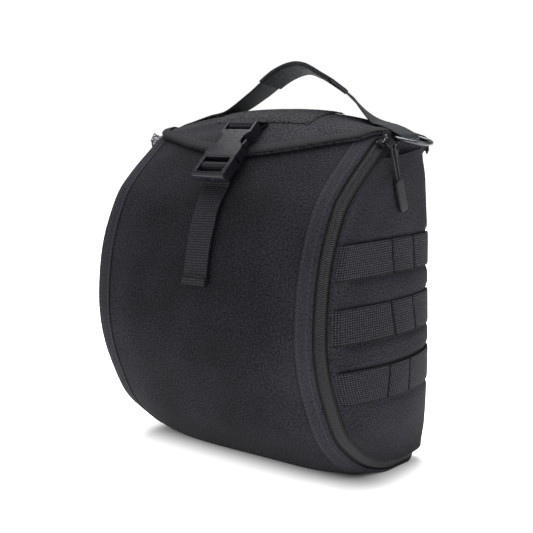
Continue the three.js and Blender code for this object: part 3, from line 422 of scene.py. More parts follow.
# Back panel: a flat padded sheet, a little narrower under the flap, sewn in all round with one row
# of stitches.
BACK_PLANE, BACK_LOW, BACK_TOP, BACK_HALF = 56.0, 18.2, 245.6, 107.3
BACK_SEAM = 5.0
back_up = BACK_LOW + (BACK_TOP - BACK_LOW) * crowded(100, 227)
back_s, back_z = np.meshgrid(crowded(90, 214) * 2 - 1, back_up, indexing="ij")
rise = np.clip((back_z - 150) / (BACK_TOP - 150), 0, 1)
back_half = BACK_HALF - 5.7 * rise ** 2
back_x = back_s * back_half
back_edge = np.minimum(back_half - np.abs(back_x), np.minimum(back_z - BACK_LOW, BACK_TOP - back_z))
back_in = 0.8 * dip(back_edge, 0, 1.0) + 0.4 * dip(back_edge, BACK_SEAM, 1.1)
back_outer = np.stack([back_x, BACK_PLANE - back_in, back_z], -1)
back_inner = np.stack([back_x, np.full_like(back_x, BACK_PLANE - WALL), back_z], -1)
back_nylon = nylon("back_nylon", NYLON_BLACK, rows=(BACK_SEAM,))
back = put_wall("back_panel_cloth", back_outer, back_inner, back_nylon, edge=back_edge, run=back_x + back_z)
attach(back, "bag")
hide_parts("back_panel")

# Top flap: the padded lid, sewn to the back edge, domed over the top and brought down over the front
# in the middle. Its sides hang down inside the side panels, and slack cloth creases at its corners.
LID_HALF, LID_GAP = 111.0, 0.7
LID_STEP = 27.0  # length of one station on the lid
LID_FACE = LID_GAP + WALL


def lid_front(x):
    """Station of the lid's front edge: lowest in the middle, drawn back at the corners."""
    corner = np.maximum(0, (np.abs(x) - 99) / 12)
    return 6.3 - 1.1 * np.abs(x / 110) ** 1.8 - 0.5 * corner ** 2


def corner_lift(x):
    """The lid's side edges stand off a little more."""
    return 0.5 * ramp(np.abs(x), 96, 106)


lip = np.array([0.08, 0.2, 0.35, 0.55, 0.75, 0.9, 1.0])
lid_s, lid_v = np.meshgrid(np.concatenate([-1 - lip[::-1], crowded(120, 222) * 2 - 1, 1 + lip]),
                           crowded(110, 130), indexing="ij")
lid_x = np.clip(lid_s, -1, 1) * LID_HALF
lid_t = lid_v * lid_front(lid_x)
lid_fall = np.clip(np.abs(lid_s) - 1, 0, 1)
lid_hang = ramp(lid_t, 0.5, 1.7) * (1 - ramp(lid_t, 3.9, 4.4))


def lid_point(out, inner):
    """The lid's skin, and past its side edges a lip that falls straight down and leans in."""
    point = raised(lid_t, lid_x, out + corner_lift(lid_x))
    lean = (3.6 + 1.2 * inner) * (0.4 + 0.6 * lid_hang) * lid_fall
    lean -= 0.8 * (1 - inner) * np.sin(np.pi * lid_fall ** 0.7) * lid_hang
    fall = (1.4 + 13.6 * lid_hang + 1.9 * (1 - inner)) * lid_fall
    return point - np.stack([np.sign(lid_x) * lean, 0 * lean, fall], -1)


lid_edge = (1 - lid_v) * LID_STEP * lid_front(lid_x)
crease = 1.5 * np.sin(2 * np.pi * (1.5 * lid_t + 0.006 * lid_x)) * dip(lid_x, -62, 34) * dip(lid_t, 4.7, 0.8)
crease += 0.6 * np.sin((lid_x + 30 * lid_t) / 11) * dip(lid_x, 88, 18) * dip(lid_t, 4.4, 0.9)
lid_out = LID_FACE + (0.55 * crease - 0.9 * dip(lid_edge, 0, 0.9)) * (1 - lid_fall)
# Painted light: the flap's nylon is the black nylon painted paler, as the light from above falls on it.
lid = put_wall("top_flap_cloth", lid_point(lid_out, 0), lid_point(LID_GAP, 1),
               nylon("flap_nylon", (0.0225, 0.0221, 0.027, 1), contrast=1.3))
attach(lid, "bag")
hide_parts("top_flap")

# Flap binding: a ribbed tape folded over the flap's front edge and turned round both corners as far
# as the handle, sewn down along its inner edge.
BINDING_WIDTH, BINDING_SIDE = 7.0, 0.06  # width, and the share of its length beside each corner
BINDING_END = 4.4  # station where it meets the handle
WEBBING_BLACK = (0.0178, 0.0175, 0.0222, 1)


def ribbed(name, colour, pitch=1.5, specular=0.3, contrast=1.0):
    """Woven tape: round ribs across its length, one each pitch, crossed by finer threads, and dark
    lines where it is tacked, with painted shade where it is tucked in."""
    made = Finish(name, colour, 0.62, specular=specular)
    split = made.add("ShaderNodeSeparateXYZ", {0: made.cloth()})
    beat = made.sum("MULTIPLY", split.outputs[0], 2 * np.pi * 1000 / pitch)
    rib = made.sum("ADD", made.sum("MULTIPLY", made.sum("SINE", beat), 0.5), 0.5)
    thread = made.sum("SINE", made.sum("MULTIPLY", split.outputs[1], 2 * np.pi * 1000 / 1.1))
    fleck = made.noise(made.cloth(), 600.0)
    height = made.sum("ADD", rib, made.sum("MULTIPLY", thread, 0.18))
    shade = made.sum("ADD", made.sum("MULTIPLY", height, 0.6), made.sum("MULTIPLY", fleck, 0.6))
    dark, light = times(colour, 1 - 0.55 * contrast), times(colour, 1 + 0.7 * contrast)
    tone = made.mix(made.spread(shade, 0.2, 1.1, 0.0, 1.0), dark, light)
    return made.finish(made.tacked(tone), height, 0.0003 * contrast)


def woven(name, colour, long_pitch, wide_pitch, contrast=1.0):
    """Basket-woven webbing: a raised sine along its length times one across it, so that light squares
    stand between dark lines both ways, with flecks of noise, dark lines where it is tacked, and
    painted shade along its rims and at its end."""
    made = Finish(name, colour, 0.75, specular=0.14)
    split = made.add("ShaderNodeSeparateXYZ", {0: made.cloth()})
    waves = [made.sum("SINE", made.sum("MULTIPLY", split.outputs[axis], 2 * np.pi * 1000 / pitch))
             for axis, pitch in ((0, long_pitch), (1, wide_pitch))]
    waves = [made.sum("MULTIPLY", made.sum("ADD", wave, 1.0), 0.5) for wave in waves]
    weave = made.sum("MULTIPLY", waves[0], waves[1])
    fleck = made.noise(made.cloth(), 500.0)
    shade = made.sum("ADD", weave, made.sum("MULTIPLY", made.sum("SUBTRACT", fleck, 0.5), 1.1))
    dark, light = times(colour, 1 - 0.92 * contrast), times(colour, 1 + 2.4 * contrast)
    tone = made.mix(made.spread(shade, -0.1, 1.0, 0.0, 1.0), dark, light)
    return made.finish(made.tacked(tone), weave, 0.0006)


def binding_point(u, v, out):
    """The band along the lid's front edge and round its corners: the edge line moved in by v."""
    corner = lid_front(np.array(LID_HALF))
    middle = np.clip((u - BINDING_SIDE) / (1 - 2 * BINDING_SIDE), 0, 1)
    x = LID_HALF * np.sin(np.pi * (middle - 0.5))
    left = BINDING_END + (corner - BINDING_END) * np.clip(u / BINDING_SIDE, 0, 1)
    right = corner + (BINDING_END - corner) * np.clip((u - 1 + BINDING_SIDE) / BINDING_SIDE, 0, 1)
    t = np.where(u < BINDING_SIDE, left, np.where(u > 1 - BINDING_SIDE, right, lid_front(x)))
    side = ramp(np.abs(x), 92, LID_HALF)
    inward = (1 - v) * BINDING_WIDTH
    back_step = inward / LID_STEP * (1 - side * ramp(lid_front(x) - t, 0, 0.1))
    lift = 0.5 * ramp(np.abs(x), 94, 104)
    return raised(t - back_step, x - np.sign(x) * inward * side, out + lift)


bind_u, bind_v = np.meshgrid(np.linspace(0, 1, 420), crowded(7, 7, close=(0.3, 0.7)), indexing="ij")
bind_edge = np.minimum(bind_v, 1 - bind_v) * BINDING_WIDTH
bind_out = LID_FACE + 1.6 - 0.55 * dip(bind_edge, 0, 0.6) - 0.25 * dip(bind_v, 0.25, 0.08)
bind_cloth = ribbed("binding_tape", (0.019, 0.0188, 0.0215, 1), pitch=2.4, specular=0.12, contrast=1.6)
binding = put_wall("flap_binding_tape", binding_point(bind_u, bind_v, bind_out),
                   binding_point(bind_u, bind_v, LID_FACE + 0.6), bind_cloth)
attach(binding, "bag")
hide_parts("flap_binding")

# Loop patch: a rectangle of soft loop pile, sewn flat on the flap's top. Its pile is uneven and catches
# the light.
PATCH_HALF, PATCH_DEEP = 50, 55  # half its width, and its depth over the dome
PATCH_FROM, PATCH_SPAN = 2.9, 2.15  # stations
patch_s, patch_v = np.meshgrid(crowded(130, 2 * PATCH_HALF) * 2 - 1, crowded(80, PATCH_DEEP), indexing="ij")
patch_x, patch_t = patch_s * PATCH_HALF, PATCH_FROM + patch_v * PATCH_SPAN
patch_edge = np.minimum(PATCH_HALF - np.abs(patch_x), np.minimum(patch_v, 1 - patch_v) * PATCH_DEEP)
pile = np.random.default_rng(7).random(patch_x.shape)
patch_out = LID_FACE + 1.5 - 0.95 * dip(patch_edge, 0, 1.6) - 0.35 * dip(patch_edge, 3.5, 0.9) + 0.3 * pile
fuzz = Finish("loop_pile", (0.024, 0.0235, 0.027, 1), 0.95, specular=0.12)
fuzz_cloth = fuzz.cloth()
curl = fuzz.add("ShaderNodeTexVoronoi", {"Vector": fuzz_cloth, "Scale": 520.0}, voronoi_dimensions="2D")
tuft = fuzz.add("ShaderNodeTexNoise", {"Vector": fuzz_cloth, "Scale": 260.0, "Detail": 3.0, "Roughness": 0.7})
pile_height = fuzz.sum("ADD", curl.outputs[0], tuft.outputs["Fac"])
fuzz.shader.inputs["Sheen Weight"].default_value = 0.12
pile_share = fuzz.spread(pile_height, 0.55, 1.15, 0.0, 1.0)
pile_tone = fuzz.mix(pile_share, (0.002, 0.002, 0.0025, 1), (0.034, 0.0335, 0.04, 1))
patch = put_wall("loop_patch_pile", raised(patch_t, patch_x, patch_out),
                 raised(patch_t, patch_x, LID_FACE + 0.3), fuzz.finish(pile_tone, pile_height, 0.0012))
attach(patch, "bag")
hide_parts("loop_patch")

# Zips: a woven tape on each side, tucked under the front panel's edge and under the side panel's
# edge, with a closed row of moulded coil teeth along its middle.
ZIP_TOP, ZIP_END, TAPE_TUCK = 4.55, 19.7, 4.6
TAPE_OUT = -WALL - 0.8


def tape_lines(v, out):
    """The tape's four lengthwise lines, from under the front panel's edge to under the side's edge."""
    t = ZIP_TOP + (ZIP_END - ZIP_TOP) * v
    half = panel_half(t)
    below = np.maximum(0, (t - SIDE_LOW) / (ZIP_END - SIDE_LOW)) * 0.8
    hem = np.minimum(t, SIDE_LOW)
    inside = into_side(hem) * TAPE_TUCK
    side_line = side_raised(below, hem, out - 2 * below)
    tucked = side_line + np.stack([np.zeros_like(t), inside[..., 0], inside[..., 1]], -1)
    return np.stack([raised(t, half - TAPE_TUCK, out), raised(t, half, out), side_line, tucked], 0)


def coil_frame(v):
    """Middle of the zip's band and its directions across, along and out."""
    lines = tape_lines(v, TAPE_OUT)
    ahead, behind = tape_lines(v + 0.002, TAPE_OUT), tape_lines(np.maximum(v - 0.002, 0), TAPE_OUT)
    across_band = unit(lines[2] - lines[1])
    along_band = unit((ahead[1] + ahead[2] - behind[1] - behind[2]) / 2)
    return (lines[1] + lines[2]) / 2, across_band, along_band, unit(np.cross(along_band, across_band))


tape_v = np.linspace(0, 1, 300)
lines_outer, lines_inner = tape_lines(tape_v, TAPE_OUT), tape_lines(tape_v, TAPE_OUT - 1)
tape_place = np.linspace(0, 3, 25)
# Painted shade: a dark line where the tape goes in under the front panel's edge and the side panel's edge.
tucked_shade_line = np.maximum(dip(tape_place, 1, 0.13), dip(tape_place, 2, 0.13))
low_line = np.minimum(tape_place.astype(int), 2)
share = (tape_place - low_line)[:, None, None]
tape_outer = (lines_outer[low_line] * (1 - share) + lines_outer[low_line + 1] * share).swapaxes(0, 1)
tape_inner = (lines_inner[low_line] * (1 - share) + lines_inner[low_line + 1] * share).swapaxes(0, 1)
tape_cloth = ribbed("zip_tape_cloth", (0.014, 0.0138, 0.016, 1), pitch=1.8)
TOOTH, COIL_HALF, COIL_SEAT = 1.55, 3.25, 0.5  # tooth's length, half the row's width, height on the tape
coil_v = np.linspace(1 / 32, 26 / 32, 1500)
middle, across_band, _, out_band = coil_frame(coil_v)
coil_run = run_length(middle, 0)
coil_w = np.linspace(-1, 1, 13)[:, None]
slope = coil_run[None, :] + 0.9 * np.abs(coil_w) + 0.5 * TOOTH * (coil_w > 0)
tooth = 0.5 + 0.5 * np.sin(2 * np.pi * slope / TOOTH)
flat_top = np.maximum(1 - np.abs(coil_w) ** 4, 0)
coil_up = COIL_SEAT + (0.3 + 0.65 * tooth) * flat_top - 0.3 * dip(coil_w, 0, 0.1)
coil_across = coil_w * COIL_HALF + np.zeros_like(coil_up)
coil_outer = middle + across_band * coil_across[..., None] + out_band * coil_up[..., None]
coil_inner = middle + across_band * coil_across[..., None] + out_band * 0.45
coil_finish = Finish("zip_teeth", (0.02, 0.02, 0.022, 1), 0.6, specular=0.25)
painted_light_and_wear = coil_finish.noise(coil_finish.cloth(), 300.0)
# Painted shade: the teeth painted near black in the gaps between them, with clouds of wear over them.
ridge = coil_finish.spread(coil_finish.value("ridge"), 0.0002, 0.0008, 0.0, 1.0)
coil_shade = coil_finish.sum("MULTIPLY", ridge, coil_finish.spread(painted_light_and_wear, 0.3, 0.7, 0.6, 1.2))
coil_tone = coil_finish.mix(coil_shade, (0.002, 0.002, 0.0025, 1), (0.046, 0.0455, 0.051, 1))
coil_nylon = coil_finish.finish(coil_tone, painted_light_and_wear, 0.0001)
for name, turn in SIDES:
    tape = put_wall(f"{name}_zip_tape_cloth", tape_outer * turn, tape_inner * turn, tape_cloth,
                    tack=tucked_shade_line)
    teeth = put_wall(f"{name}_zip_teeth", coil_outer * turn, coil_inner * turn, coil_nylon, ridge=tooth)
    for piece, node in ((tape, "zip_tape"), (teeth, "zip_coil")):
        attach(piece, "bag")
        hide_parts(f"{name}_{node}")

# Zip sliders and pull tabs: small castings in dark gunmetal plating, rounded at every edge, with the
# tab hooked in the slider's bail.
def rounded_copy(node, name, width, material):
    """A fitting's own solid with its corners joined, flat faces made whole and every edge rounded."""
    mesh = nodes[node].data.copy()
    work = bmesh.new()
    work.from_mesh(mesh)
    bmesh.ops.remove_doubles(work, verts=work.verts, dist=1e-6)
    bmesh.ops.dissolve_limit(work, angle_limit=np.radians(1), verts=work.verts, edges=work.edges)
    work.to_mesh(mesh)
    work.free()
    mesh.materials.clear()
    mesh.materials.append(material)
    for key in ("custom_normal", "sharp_face"):
        if key in mesh.attributes:
            mesh.attributes.remove(mesh.attributes[key])
    mesh.shade_smooth()
    mesh.set_sharp_from_angle(angle=np.radians(40))
    piece = bpy.data.objects.new(name, mesh)
    scene.collection.objects.link(piece)
    bevel = piece.modifiers.new("round", "BEVEL")
    bevel.width, bevel.segments, bevel.limit_method = width * MM, 3, "ANGLE"
    bevel.angle_limit, bevel.harden_normals = np.radians(35), True
    bevel.use_clamp_overlap = True
    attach(piece, nodes[node]["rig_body"])
    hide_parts(node)
    return piece


def metal(name, colour, roughness):
    """Plated metal: cloudy roughness and fine pits, seen in the piece's own place."""
    made = Finish(name, colour, roughness, metallic=1.0, specular=0.5)
    place = made.add("ShaderNodeTexCoord").outputs["Object"]
    cloud = made.noise(place, 300.0, 4.0)
    made.gloss(cloud, roughness - 0.08, roughness + 0.12)
    return made.finish(made.mix(cloud, times(colour, 0.6), colour), cloud, 0.00004)


slider_metal = metal("slider_metal", (0.11, 0.112, 0.12, 1), 0.22)
for name in ("right", "left"):
    for part, width in (("zip_slider", 0.45), ("pull_tab", 0.3)):
        fitting = rounded_copy(f"{name}_{part}", f"{name}_{part}_cast", width, slider_metal)

# Pull loops: a short braided cord doubled through each pull tab, with both ends moulded into the
# grip that hangs from it.
LOOP_WIRE, GAP = 0.9, 0.3
SLIDER_STATION, SLIDER_SEAT, SLIDER_THICK = 5.05, COIL_SEAT + 1.3 + 0.9, 2.6
BAIL_WIRE, BAIL_CENTRE, BAIL_RISE = 0.7, 0.8, 2.6
TAB_LENGTH, TAB_RIM = 11, 1.3
tab_run = unit(np.array([0.7, 0.25, -0.66]))
hang_run = unit(np.array([0.01, 0.31, -0.95]))


def curve_through(points, count, closed=False):
    """Centripetal Catmull-Rom curve: cubic pieces whose speed goes with the root of the spacing."""
    points = np.asarray(points, float)
    if closed:
        whole = np.vstack([points[-1], points, points[0], points[1]])
    else:
        whole = np.vstack([2 * points[0] - points[1], points, 2 * points[-1] - points[-2]])
    pieces = len(whole) - 3
    place = np.linspace(0, pieces, count, endpoint=not closed)
    i = np.minimum(place.astype(int), pieces - 1)
    f = (place - i)[:, None]
    a, b, c, d = whole[i], whole[i + 1], whole[i + 2], whole[i + 3]
    s0, s1, s2 = (np.sqrt(np.linalg.norm(q - p, axis=1))[:, None] for p, q in ((a, b), (b, c), (c, d)))
    m1 = ((b - a) / s0 - (c - a) / (s0 + s1) + (c - b) / s1) * s1
    m2 = ((c - b) / s1 - (d - b) / (s1 + s2) + (d - c) / s2) * s1
    return b + m1 * f + (3 * (c - b) - 2 * m1 - m2) * f ** 2 + (2 * (b - c) + m1 + m2) * f ** 3


def put_tube(name, path, radius, material, normal, sides=12, closed=False):
    """A round tube: a circle of the given radius carried along a path that lies in one plane, closed by
    a fan of faces at each free end."""
    tangent = np.roll(path, -1, 0) - np.roll(path, 1, 0) if closed else np.gradient(path, axis=0)
    outward = unit(np.cross(tangent, normal))
    turn = np.linspace(0, 2 * np.pi, sides, endpoint=False)
    ring = np.cos(turn)[None, :, None] * outward[:, None, :] + np.sin(turn)[None, :, None] * normal
    points = (path[:, None, :] + radius * ring).reshape(-1, 3)
    steps = len(path)
    along = np.repeat(run_length(path, 0), sides)
    uv = np.stack([along, np.tile(turn * radius, steps)], -1)
    at = np.arange(steps * sides).reshape(steps, sides)
    on = np.roll(at, -1, 1)
    faces = np.stack([at, np.roll(at, -1, 0), np.roll(on, -1, 0), on], -1)
    faces = (faces if closed else faces[:-1]).reshape(-1, 4)
    if not closed:
        pairs = np.arange(0, sides, 2)
        fan = [pairs, pairs + 1, (pairs + 2) % sides]
        first = np.stack([np.full(len(pairs), len(points)), *(at[0, k] for k in fan)], -1)
        last = np.stack([np.full(len(pairs), len(points) + 1), *(at[-1, k] for k in fan[::-1])], -1)
        faces = np.concatenate([faces, first, last])
        points = np.concatenate([points, path[[0]], path[[-1]]])
        uv = np.concatenate([uv, [[0, 0], [along[-1], 0]]])
    return put_mesh(name, points, faces, material, uv)


slider_share = (SLIDER_STATION - ZIP_TOP) / (ZIP_END - ZIP_TOP)
slider_middle, _, slider_along, slider_out = (v[0] for v in coil_frame(np.array([slider_share])))
bail_top = slider_middle + slider_out * (SLIDER_SEAT + SLIDER_THICK + BAIL_CENTRE + BAIL_RISE)
tab_start = bail_top - tab_run * (TAB_RIM + BAIL_WIRE + GAP)
loop_start = tab_start + tab_run * (TAB_LENGTH - TAB_RIM - LOOP_WIRE - 2.4 * GAP)
tab_face = unit(slider_along - tab_run * np.dot(slider_along, tab_run))
loop_off = unit(tab_face - hang_run * np.dot(tab_face, hang_run))
loop_plane = unit(np.cross(hang_run, loop_off))
loop_rows = np.array([[26.8, 1.3], [24, 1.7], [14, 1.95], [6, 2.04], [1.6, 1.7], [0, 0],
                      [1.6, -1.7], [6, -2.04], [14, -1.95], [24, -1.7], [26.8, -1.3]])  # along, off
loop_path = curve_through(loop_start + loop_rows[:, :1] * hang_run + loop_rows[:, 1:] * loop_off, 90)
braid = ribbed("pull_cord", (0.02, 0.02, 0.022, 1), pitch=1.1)
for name, turn in SIDES:
    loop = put_tube(f"{name}_pull_cord", loop_path * turn, LOOP_WIRE, braid, loop_plane * turn)
    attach(loop, "bag")
    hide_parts(f"{name}_pull_loop")

# Pull grips: flat tongues of satin black rubbery plastic, moulded over both ends of each cord, so that
# they hang from the slider on it.
def moulded(name, colour, roughness, specular):
    """Moulded plastic: a fine spark-eroded grain and faint clouds of wear in its gloss."""
    made = Finish(name, colour, roughness, specular=specular)
    place = made.add("ShaderNodeTexCoord").outputs["Object"]
    spark, cloud = made.noise(place, 1400.0), made.noise(place, 90.0, 4.0)
    made.gloss(cloud, roughness - 0.06, roughness + 0.1)
    return made.finish(made.mix(cloud, times(colour, 0.75), times(colour, 1.3)), spark, 0.00008)


grip_plastic = moulded("grip_plastic", (0.0135, 0.013, 0.0165, 1), 0.5, 0.22)
for name in ("right", "left"):
    grip = rounded_copy(f"{name}_pull_grip", f"{name}_pull_grip_moulded", 1.2, grip_plastic)

# Webbing rows: three bands of flat basket-woven webbing across each side, caught in the zip's seam and
# held by bar tacks, so that the band stands off the panel a little between one tack and the next.
TACKS = ((-11.3, 19.2), (-19.5, 11.4), (-27.7, -1.3))  # place of each row's bar tacks, along y
ROW_FRONT, ROW_REAR = -80.0, 52.0  # and of its two sewn ends
WEBBING_WIDTH, WEBBING_THICK = 25.0, 1.6
row_t = np.linspace(SIDE_TOP, SIDE_LOW, 2000)
row_z = zip_edge(row_t)[..., 1]
band_cloth = woven("side_webbing", WEBBING_BLACK, 2.3, 1.75, contrast=0.85)
row_across = crowded(13, WEBBING_WIDTH, close=(0.3, 0.8, 1.5))
row_u, row_v = np.meshgrid(np.linspace(0.002, 0.985, 280), row_across, indexing="ij")
row_edge = np.minimum(row_v, 1 - row_v) * WEBBING_WIDTH
# Painted shade along each band's edges, deepest as a painted shadow line along its lower edge.
rim = np.maximum(0.5 * dip(row_edge, 0, 0.55), dip(row_v * WEBBING_WIDTH, 0, 1.1))
for number, (height, tacks) in enumerate(zip(ROW_HEIGHTS, TACKS), 1):
    level = np.interp(-(height + (row_v - 0.5) * WEBBING_WIDTH), -row_z, row_t)
    row_y = side_skin(row_u, level)[..., 1]
    stops = np.array([ROW_FRONT, *tacks, ROW_REAR])
    span = np.clip(np.searchsorted(stops, row_y, side="right") - 1, 0, len(stops) - 2)
    share = np.clip((row_y - stops[span]) / (stops[span + 1] - stops[span]), 0, 1)
    row_out = -0.8 + 1.4 * ramp(row_u, 0, 0.03) + 1.6 * ramp(row_u, 0.01, 0.07)
    row_out += 0.45 * np.sin(np.pi * share) ** 0.6 - 0.4 * dip(row_edge, 0, 0.7)
    tacked = np.max([dip(row_y, stop, 0.9) for stop in tacks], axis=0)
    outer = side_raised(row_u, level, row_out - 1.1 * tacked)
    under_side = np.maximum(row_out - WEBBING_THICK, 0.2) - 0.1
    inner = side_raised(row_u, level, np.minimum(under_side, row_out - 0.7))
    for name, turn in SIDES:
        band = put_wall(f"{name}_webbing_{number}_band", outer * turn, inner * turn, band_cloth,
                        tack=np.maximum(tacked, rim))
        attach(band, "bag")
        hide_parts(f"{name}_webbing_{number}")

# Buckle: a fastened side-release buckle in satin black plastic. The socket takes the plug's two
# prongs, and every moulded edge is rounded.
buckle_plastic = moulded("buckle_plastic", (0.0092, 0.0086, 0.0134, 1), 0.2, 0.24)
for node in ("buckle_socket", "buckle_plug"):
    half_buckle = rounded_copy(node, f"{node}_moulded", 0.7, buckle_plastic)

# Buckle tab and front strap: woven webbing. The tab is sewn to the flap and wraps the socket's bar;
# the strap goes up through the plug, over its bar and down the front, a little twisted, to a turned hem.
BUCKLE_THICK = 8.4
SOCKET_BAR, PLUG_BAR = (1.7, 1.8), (1.2, 1.6)  # half of each bar's length along the buckle, and of its height
PLUG_START, PLUG_BAR_MIDDLE = 37.3, 8.4
buckle_top, buckle_end = np.array([-0.5, -36.4, 269.4]), np.array([-0.5, -78.4, 229.4])
buckle_run = unit(buckle_end - buckle_top)
buckle_out = -unit(np.cross([1.0, 0, 0], buckle_run))


def buckle_point(along, height):
    """A place in the buckle: along its run from the top end, and above its middle plane."""
    return buckle_top + buckle_run * along + buckle_out * (height - BUCKLE_THICK / 2)


def put_strap(name, path, width_way, normal, material, hem=0.0):
    """Flat webbing: a rounded flat section carried along a path; its faces are half a thickness out,
    and its outer face stands out by one more thickness over a turned hem at the far end."""
    place = crowded(13, WEBBING_WIDTH, close=(0.25, 0.6, 1.2)) - 0.5
    from_rim = np.minimum(0.5 - np.abs(place), 0.5) * WEBBING_WIDTH
    half = WEBBING_THICK / 2 * (1 - 0.55 * dip(from_rim, 0, 0.6))
    flat = path[:, None, :] + width_way[:, None, :] * (place * WEBBING_WIDTH)[None, :, None]
    rise = normal[:, None, :] * half[None, :, None]
    to_end = run_length(path, 0)[-1] - run_length(path, 0)
    folded = (1 - ramp(to_end, hem - 0.6, hem + 0.2)) * (hem > 0)
    # The hem's row of stitches, and a painted shadow line along the strap's very end.
    sewn = np.maximum(dip(to_end, hem - 1.4, 0.7), dip(to_end, 0, 1.0)) * (hem > 0)
    fold = normal[:, None, :] * (WEBBING_THICK * folded)[:, None, None]
    return put_wall(name, flat + rise + fold, flat - rise, material, tack=sewn[:, None])


def round_bar(middle, radius, degrees):
    """Places on a circle round a bar of the buckle, at angles from straight out."""
    return [buckle_point(middle + radius * np.sin(a), radius * np.cos(a)) for a in np.radians(degrees)]


strap_seat = GAP + WEBBING_THICK / 2
tab_seat, one_more = LID_FACE + strap_seat, GAP + WEBBING_THICK
bar_radius, plug_radius = np.hypot(*SOCKET_BAR) + strap_seat, np.hypot(*PLUG_BAR) + strap_seat
tab_points = [raised(5.14, 0, tab_seat), raised(5.22, 0, tab_seat), buckle_point(-2.4, -bar_radius - 1.2),
              *round_bar(SOCKET_BAR[0], bar_radius, [170, 130, 90, 45, 0, -40]),
              raised(5.24, 0, tab_seat + 1.5 * one_more), raised(5.13, 0, tab_seat + one_more)]
plug_bar, under = PLUG_START + PLUG_BAR_MIDDLE, -BUCKLE_THICK / 2 - 0.2
lying = np.array([7.45, 7.7, 8.2, 8.7, 9.2, 9.7, 10.25])
strap_points = [raised(6.62, 0, strap_seat), raised(6.72, 0, strap_seat),
                buckle_point(plug_bar - plug_radius - 0.3, under),
                *round_bar(plug_bar, plug_radius, [-90, -45, 0, 45, 90]),
                buckle_point(plug_bar + plug_radius + 0.4, under),
                *raised(lying, 3 * (lying - 7.45) / 2.8, strap_seat + 1.3 * ramp(lying, 7.45, 8.2))]
strap_cloth = woven("strap_webbing", WEBBING_BLACK, 2.0, 1.7, contrast=0.75)
for name, points, count, twist, hem in (("buckle_tab", tab_points, 160, 0, 0),
                                        ("front_strap", strap_points, 420, 4, 8)):
    path = curve_through(points, count)
    flat_way = np.tile([1.0, 0, 0], (count, 1))
    normal = unit(np.cross(np.gradient(path, axis=0), flat_way))
    turn = np.radians(twist * ramp(-path[:, 2], -222, -205))[:, None]
    width_way = flat_way * np.cos(turn) + normal * np.sin(turn)
    normal = normal * np.cos(turn) - flat_way * np.sin(turn)
    strap = put_strap(f"{name}_webbing", path, width_way, normal, strap_cloth, hem)
    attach(strap, "bag")
    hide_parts(name)

# Handle: one length of smooth dark grey webbing, sewn over the flap's sides, arched between them and
# looped round a ring bar at each side. It stands slack, so its left leg lies on the flap at first.
ARCH = np.array([  # x, rise, degrees it leans back, degrees its rear edge hangs down
    [-94, 0, 35, 0], [-72, 0.2, 35, 0], [-54, 1.2, 35, 0], [-36, 14.5, 35, 6], [-18, 33.9, 35, 12],
    [0, 38.3, 31, 14], [18, 33.7, 25, 20], [36, 26.1, 22, 20], [54, 18.3, 22, 23], [72, 8.4, 25, 33],
    [94, 0, 35, 0]])
HANDLE_STATION, RING_WIRE = 3.6, 1.6
handle_seat = LID_FACE + 1.3 + WEBBING_THICK / 2
handle_line = raised(HANDLE_STATION, ARCH[0, 0], handle_seat)[1]
lean = np.radians(ARCH[:, 2])
sewn_height = raised(HANDLE_STATION, ARCH[:, 0], handle_seat)[:, 2]
arch = np.stack([ARCH[:, 0], handle_line + ARCH[:, 1] * np.sin(lean),
                 sewn_height + ARCH[:, 1] * np.cos(lean)], -1)
ring_bar = raised(HANDLE_STATION, 115.8, 1.4)
ring_bar[1] = handle_line
loop_turn = np.radians([85, 45, 0, -45, -90, -135, -175])
loop_way = np.stack([np.cos(loop_turn), 0 * loop_turn, np.sin(loop_turn)], -1)
ring_end = np.concatenate([raised(HANDLE_STATION, np.array([99.0, 103, 107]), handle_seat),
                           ring_bar + (RING_WIRE + 0.4 + WEBBING_THICK / 2) * loop_way])
ring_end[:, 1] = handle_line
handle_path = curve_through(np.concatenate([(ring_end * MIRROR)[::-1], arch, ring_end]), 620)
handle_tilt = np.radians(np.interp(handle_path[:, 0], ARCH[:, 0], ARCH[:, 3]))
handle_width = np.stack([0 * handle_tilt, np.cos(handle_tilt), -np.sin(handle_tilt)], -1)
handle_normal = -unit(np.cross(np.gradient(handle_path, axis=0), handle_width))
handle_cloth = ribbed("handle_webbing", (0.021, 0.0245, 0.028, 1), pitch=1.2, specular=0.25)
handle = put_strap("handle_strap_webbing", handle_path, handle_width, handle_normal, handle_cloth)
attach(handle, "bag")
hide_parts("handle_strap")

# Handle sleeve: a strip of smooth dark cloth wrapped round the middle of the handle and sewn
# along one edge, open at its two ends.
SLEEVE_FROM, SLEEVE_TO, SLEEVE_GAP, SLEEVE_WALL = -27.0, 48.0, 0.3, 0.9
on_arch = np.arange(160, 460)
place = np.interp(np.linspace(SLEEVE_FROM, SLEEVE_TO, 90), handle_path[on_arch, 0], on_arch)
sleeve_path, sleeve_width, sleeve_normal = (
    np.stack([np.interp(place, np.arange(len(v)), v[:, k]) for k in range(3)], -1)
    for v in (handle_path, handle_width, handle_normal))
sleeve_turn = np.linspace(0, 2 * np.pi, 49)


def squared(v):
    """A small power of a value, with its sign kept, which squares off a circle."""
    return np.sign(v) * np.abs(v) ** 0.28


def sleeve_face(grow):
    """A ring round the webbing: squared-off cosine and sine, stretched to its section."""
    wide = squared(np.cos(sleeve_turn)) * (WEBBING_WIDTH / 2 + grow)
    thick = squared(np.sin(sleeve_turn)) * (WEBBING_THICK / 2 + grow)
    return (sleeve_path[:, None] + sleeve_width[:, None] * wide[None, :, None]
            + sleeve_normal[:, None] * thick[None, :, None])


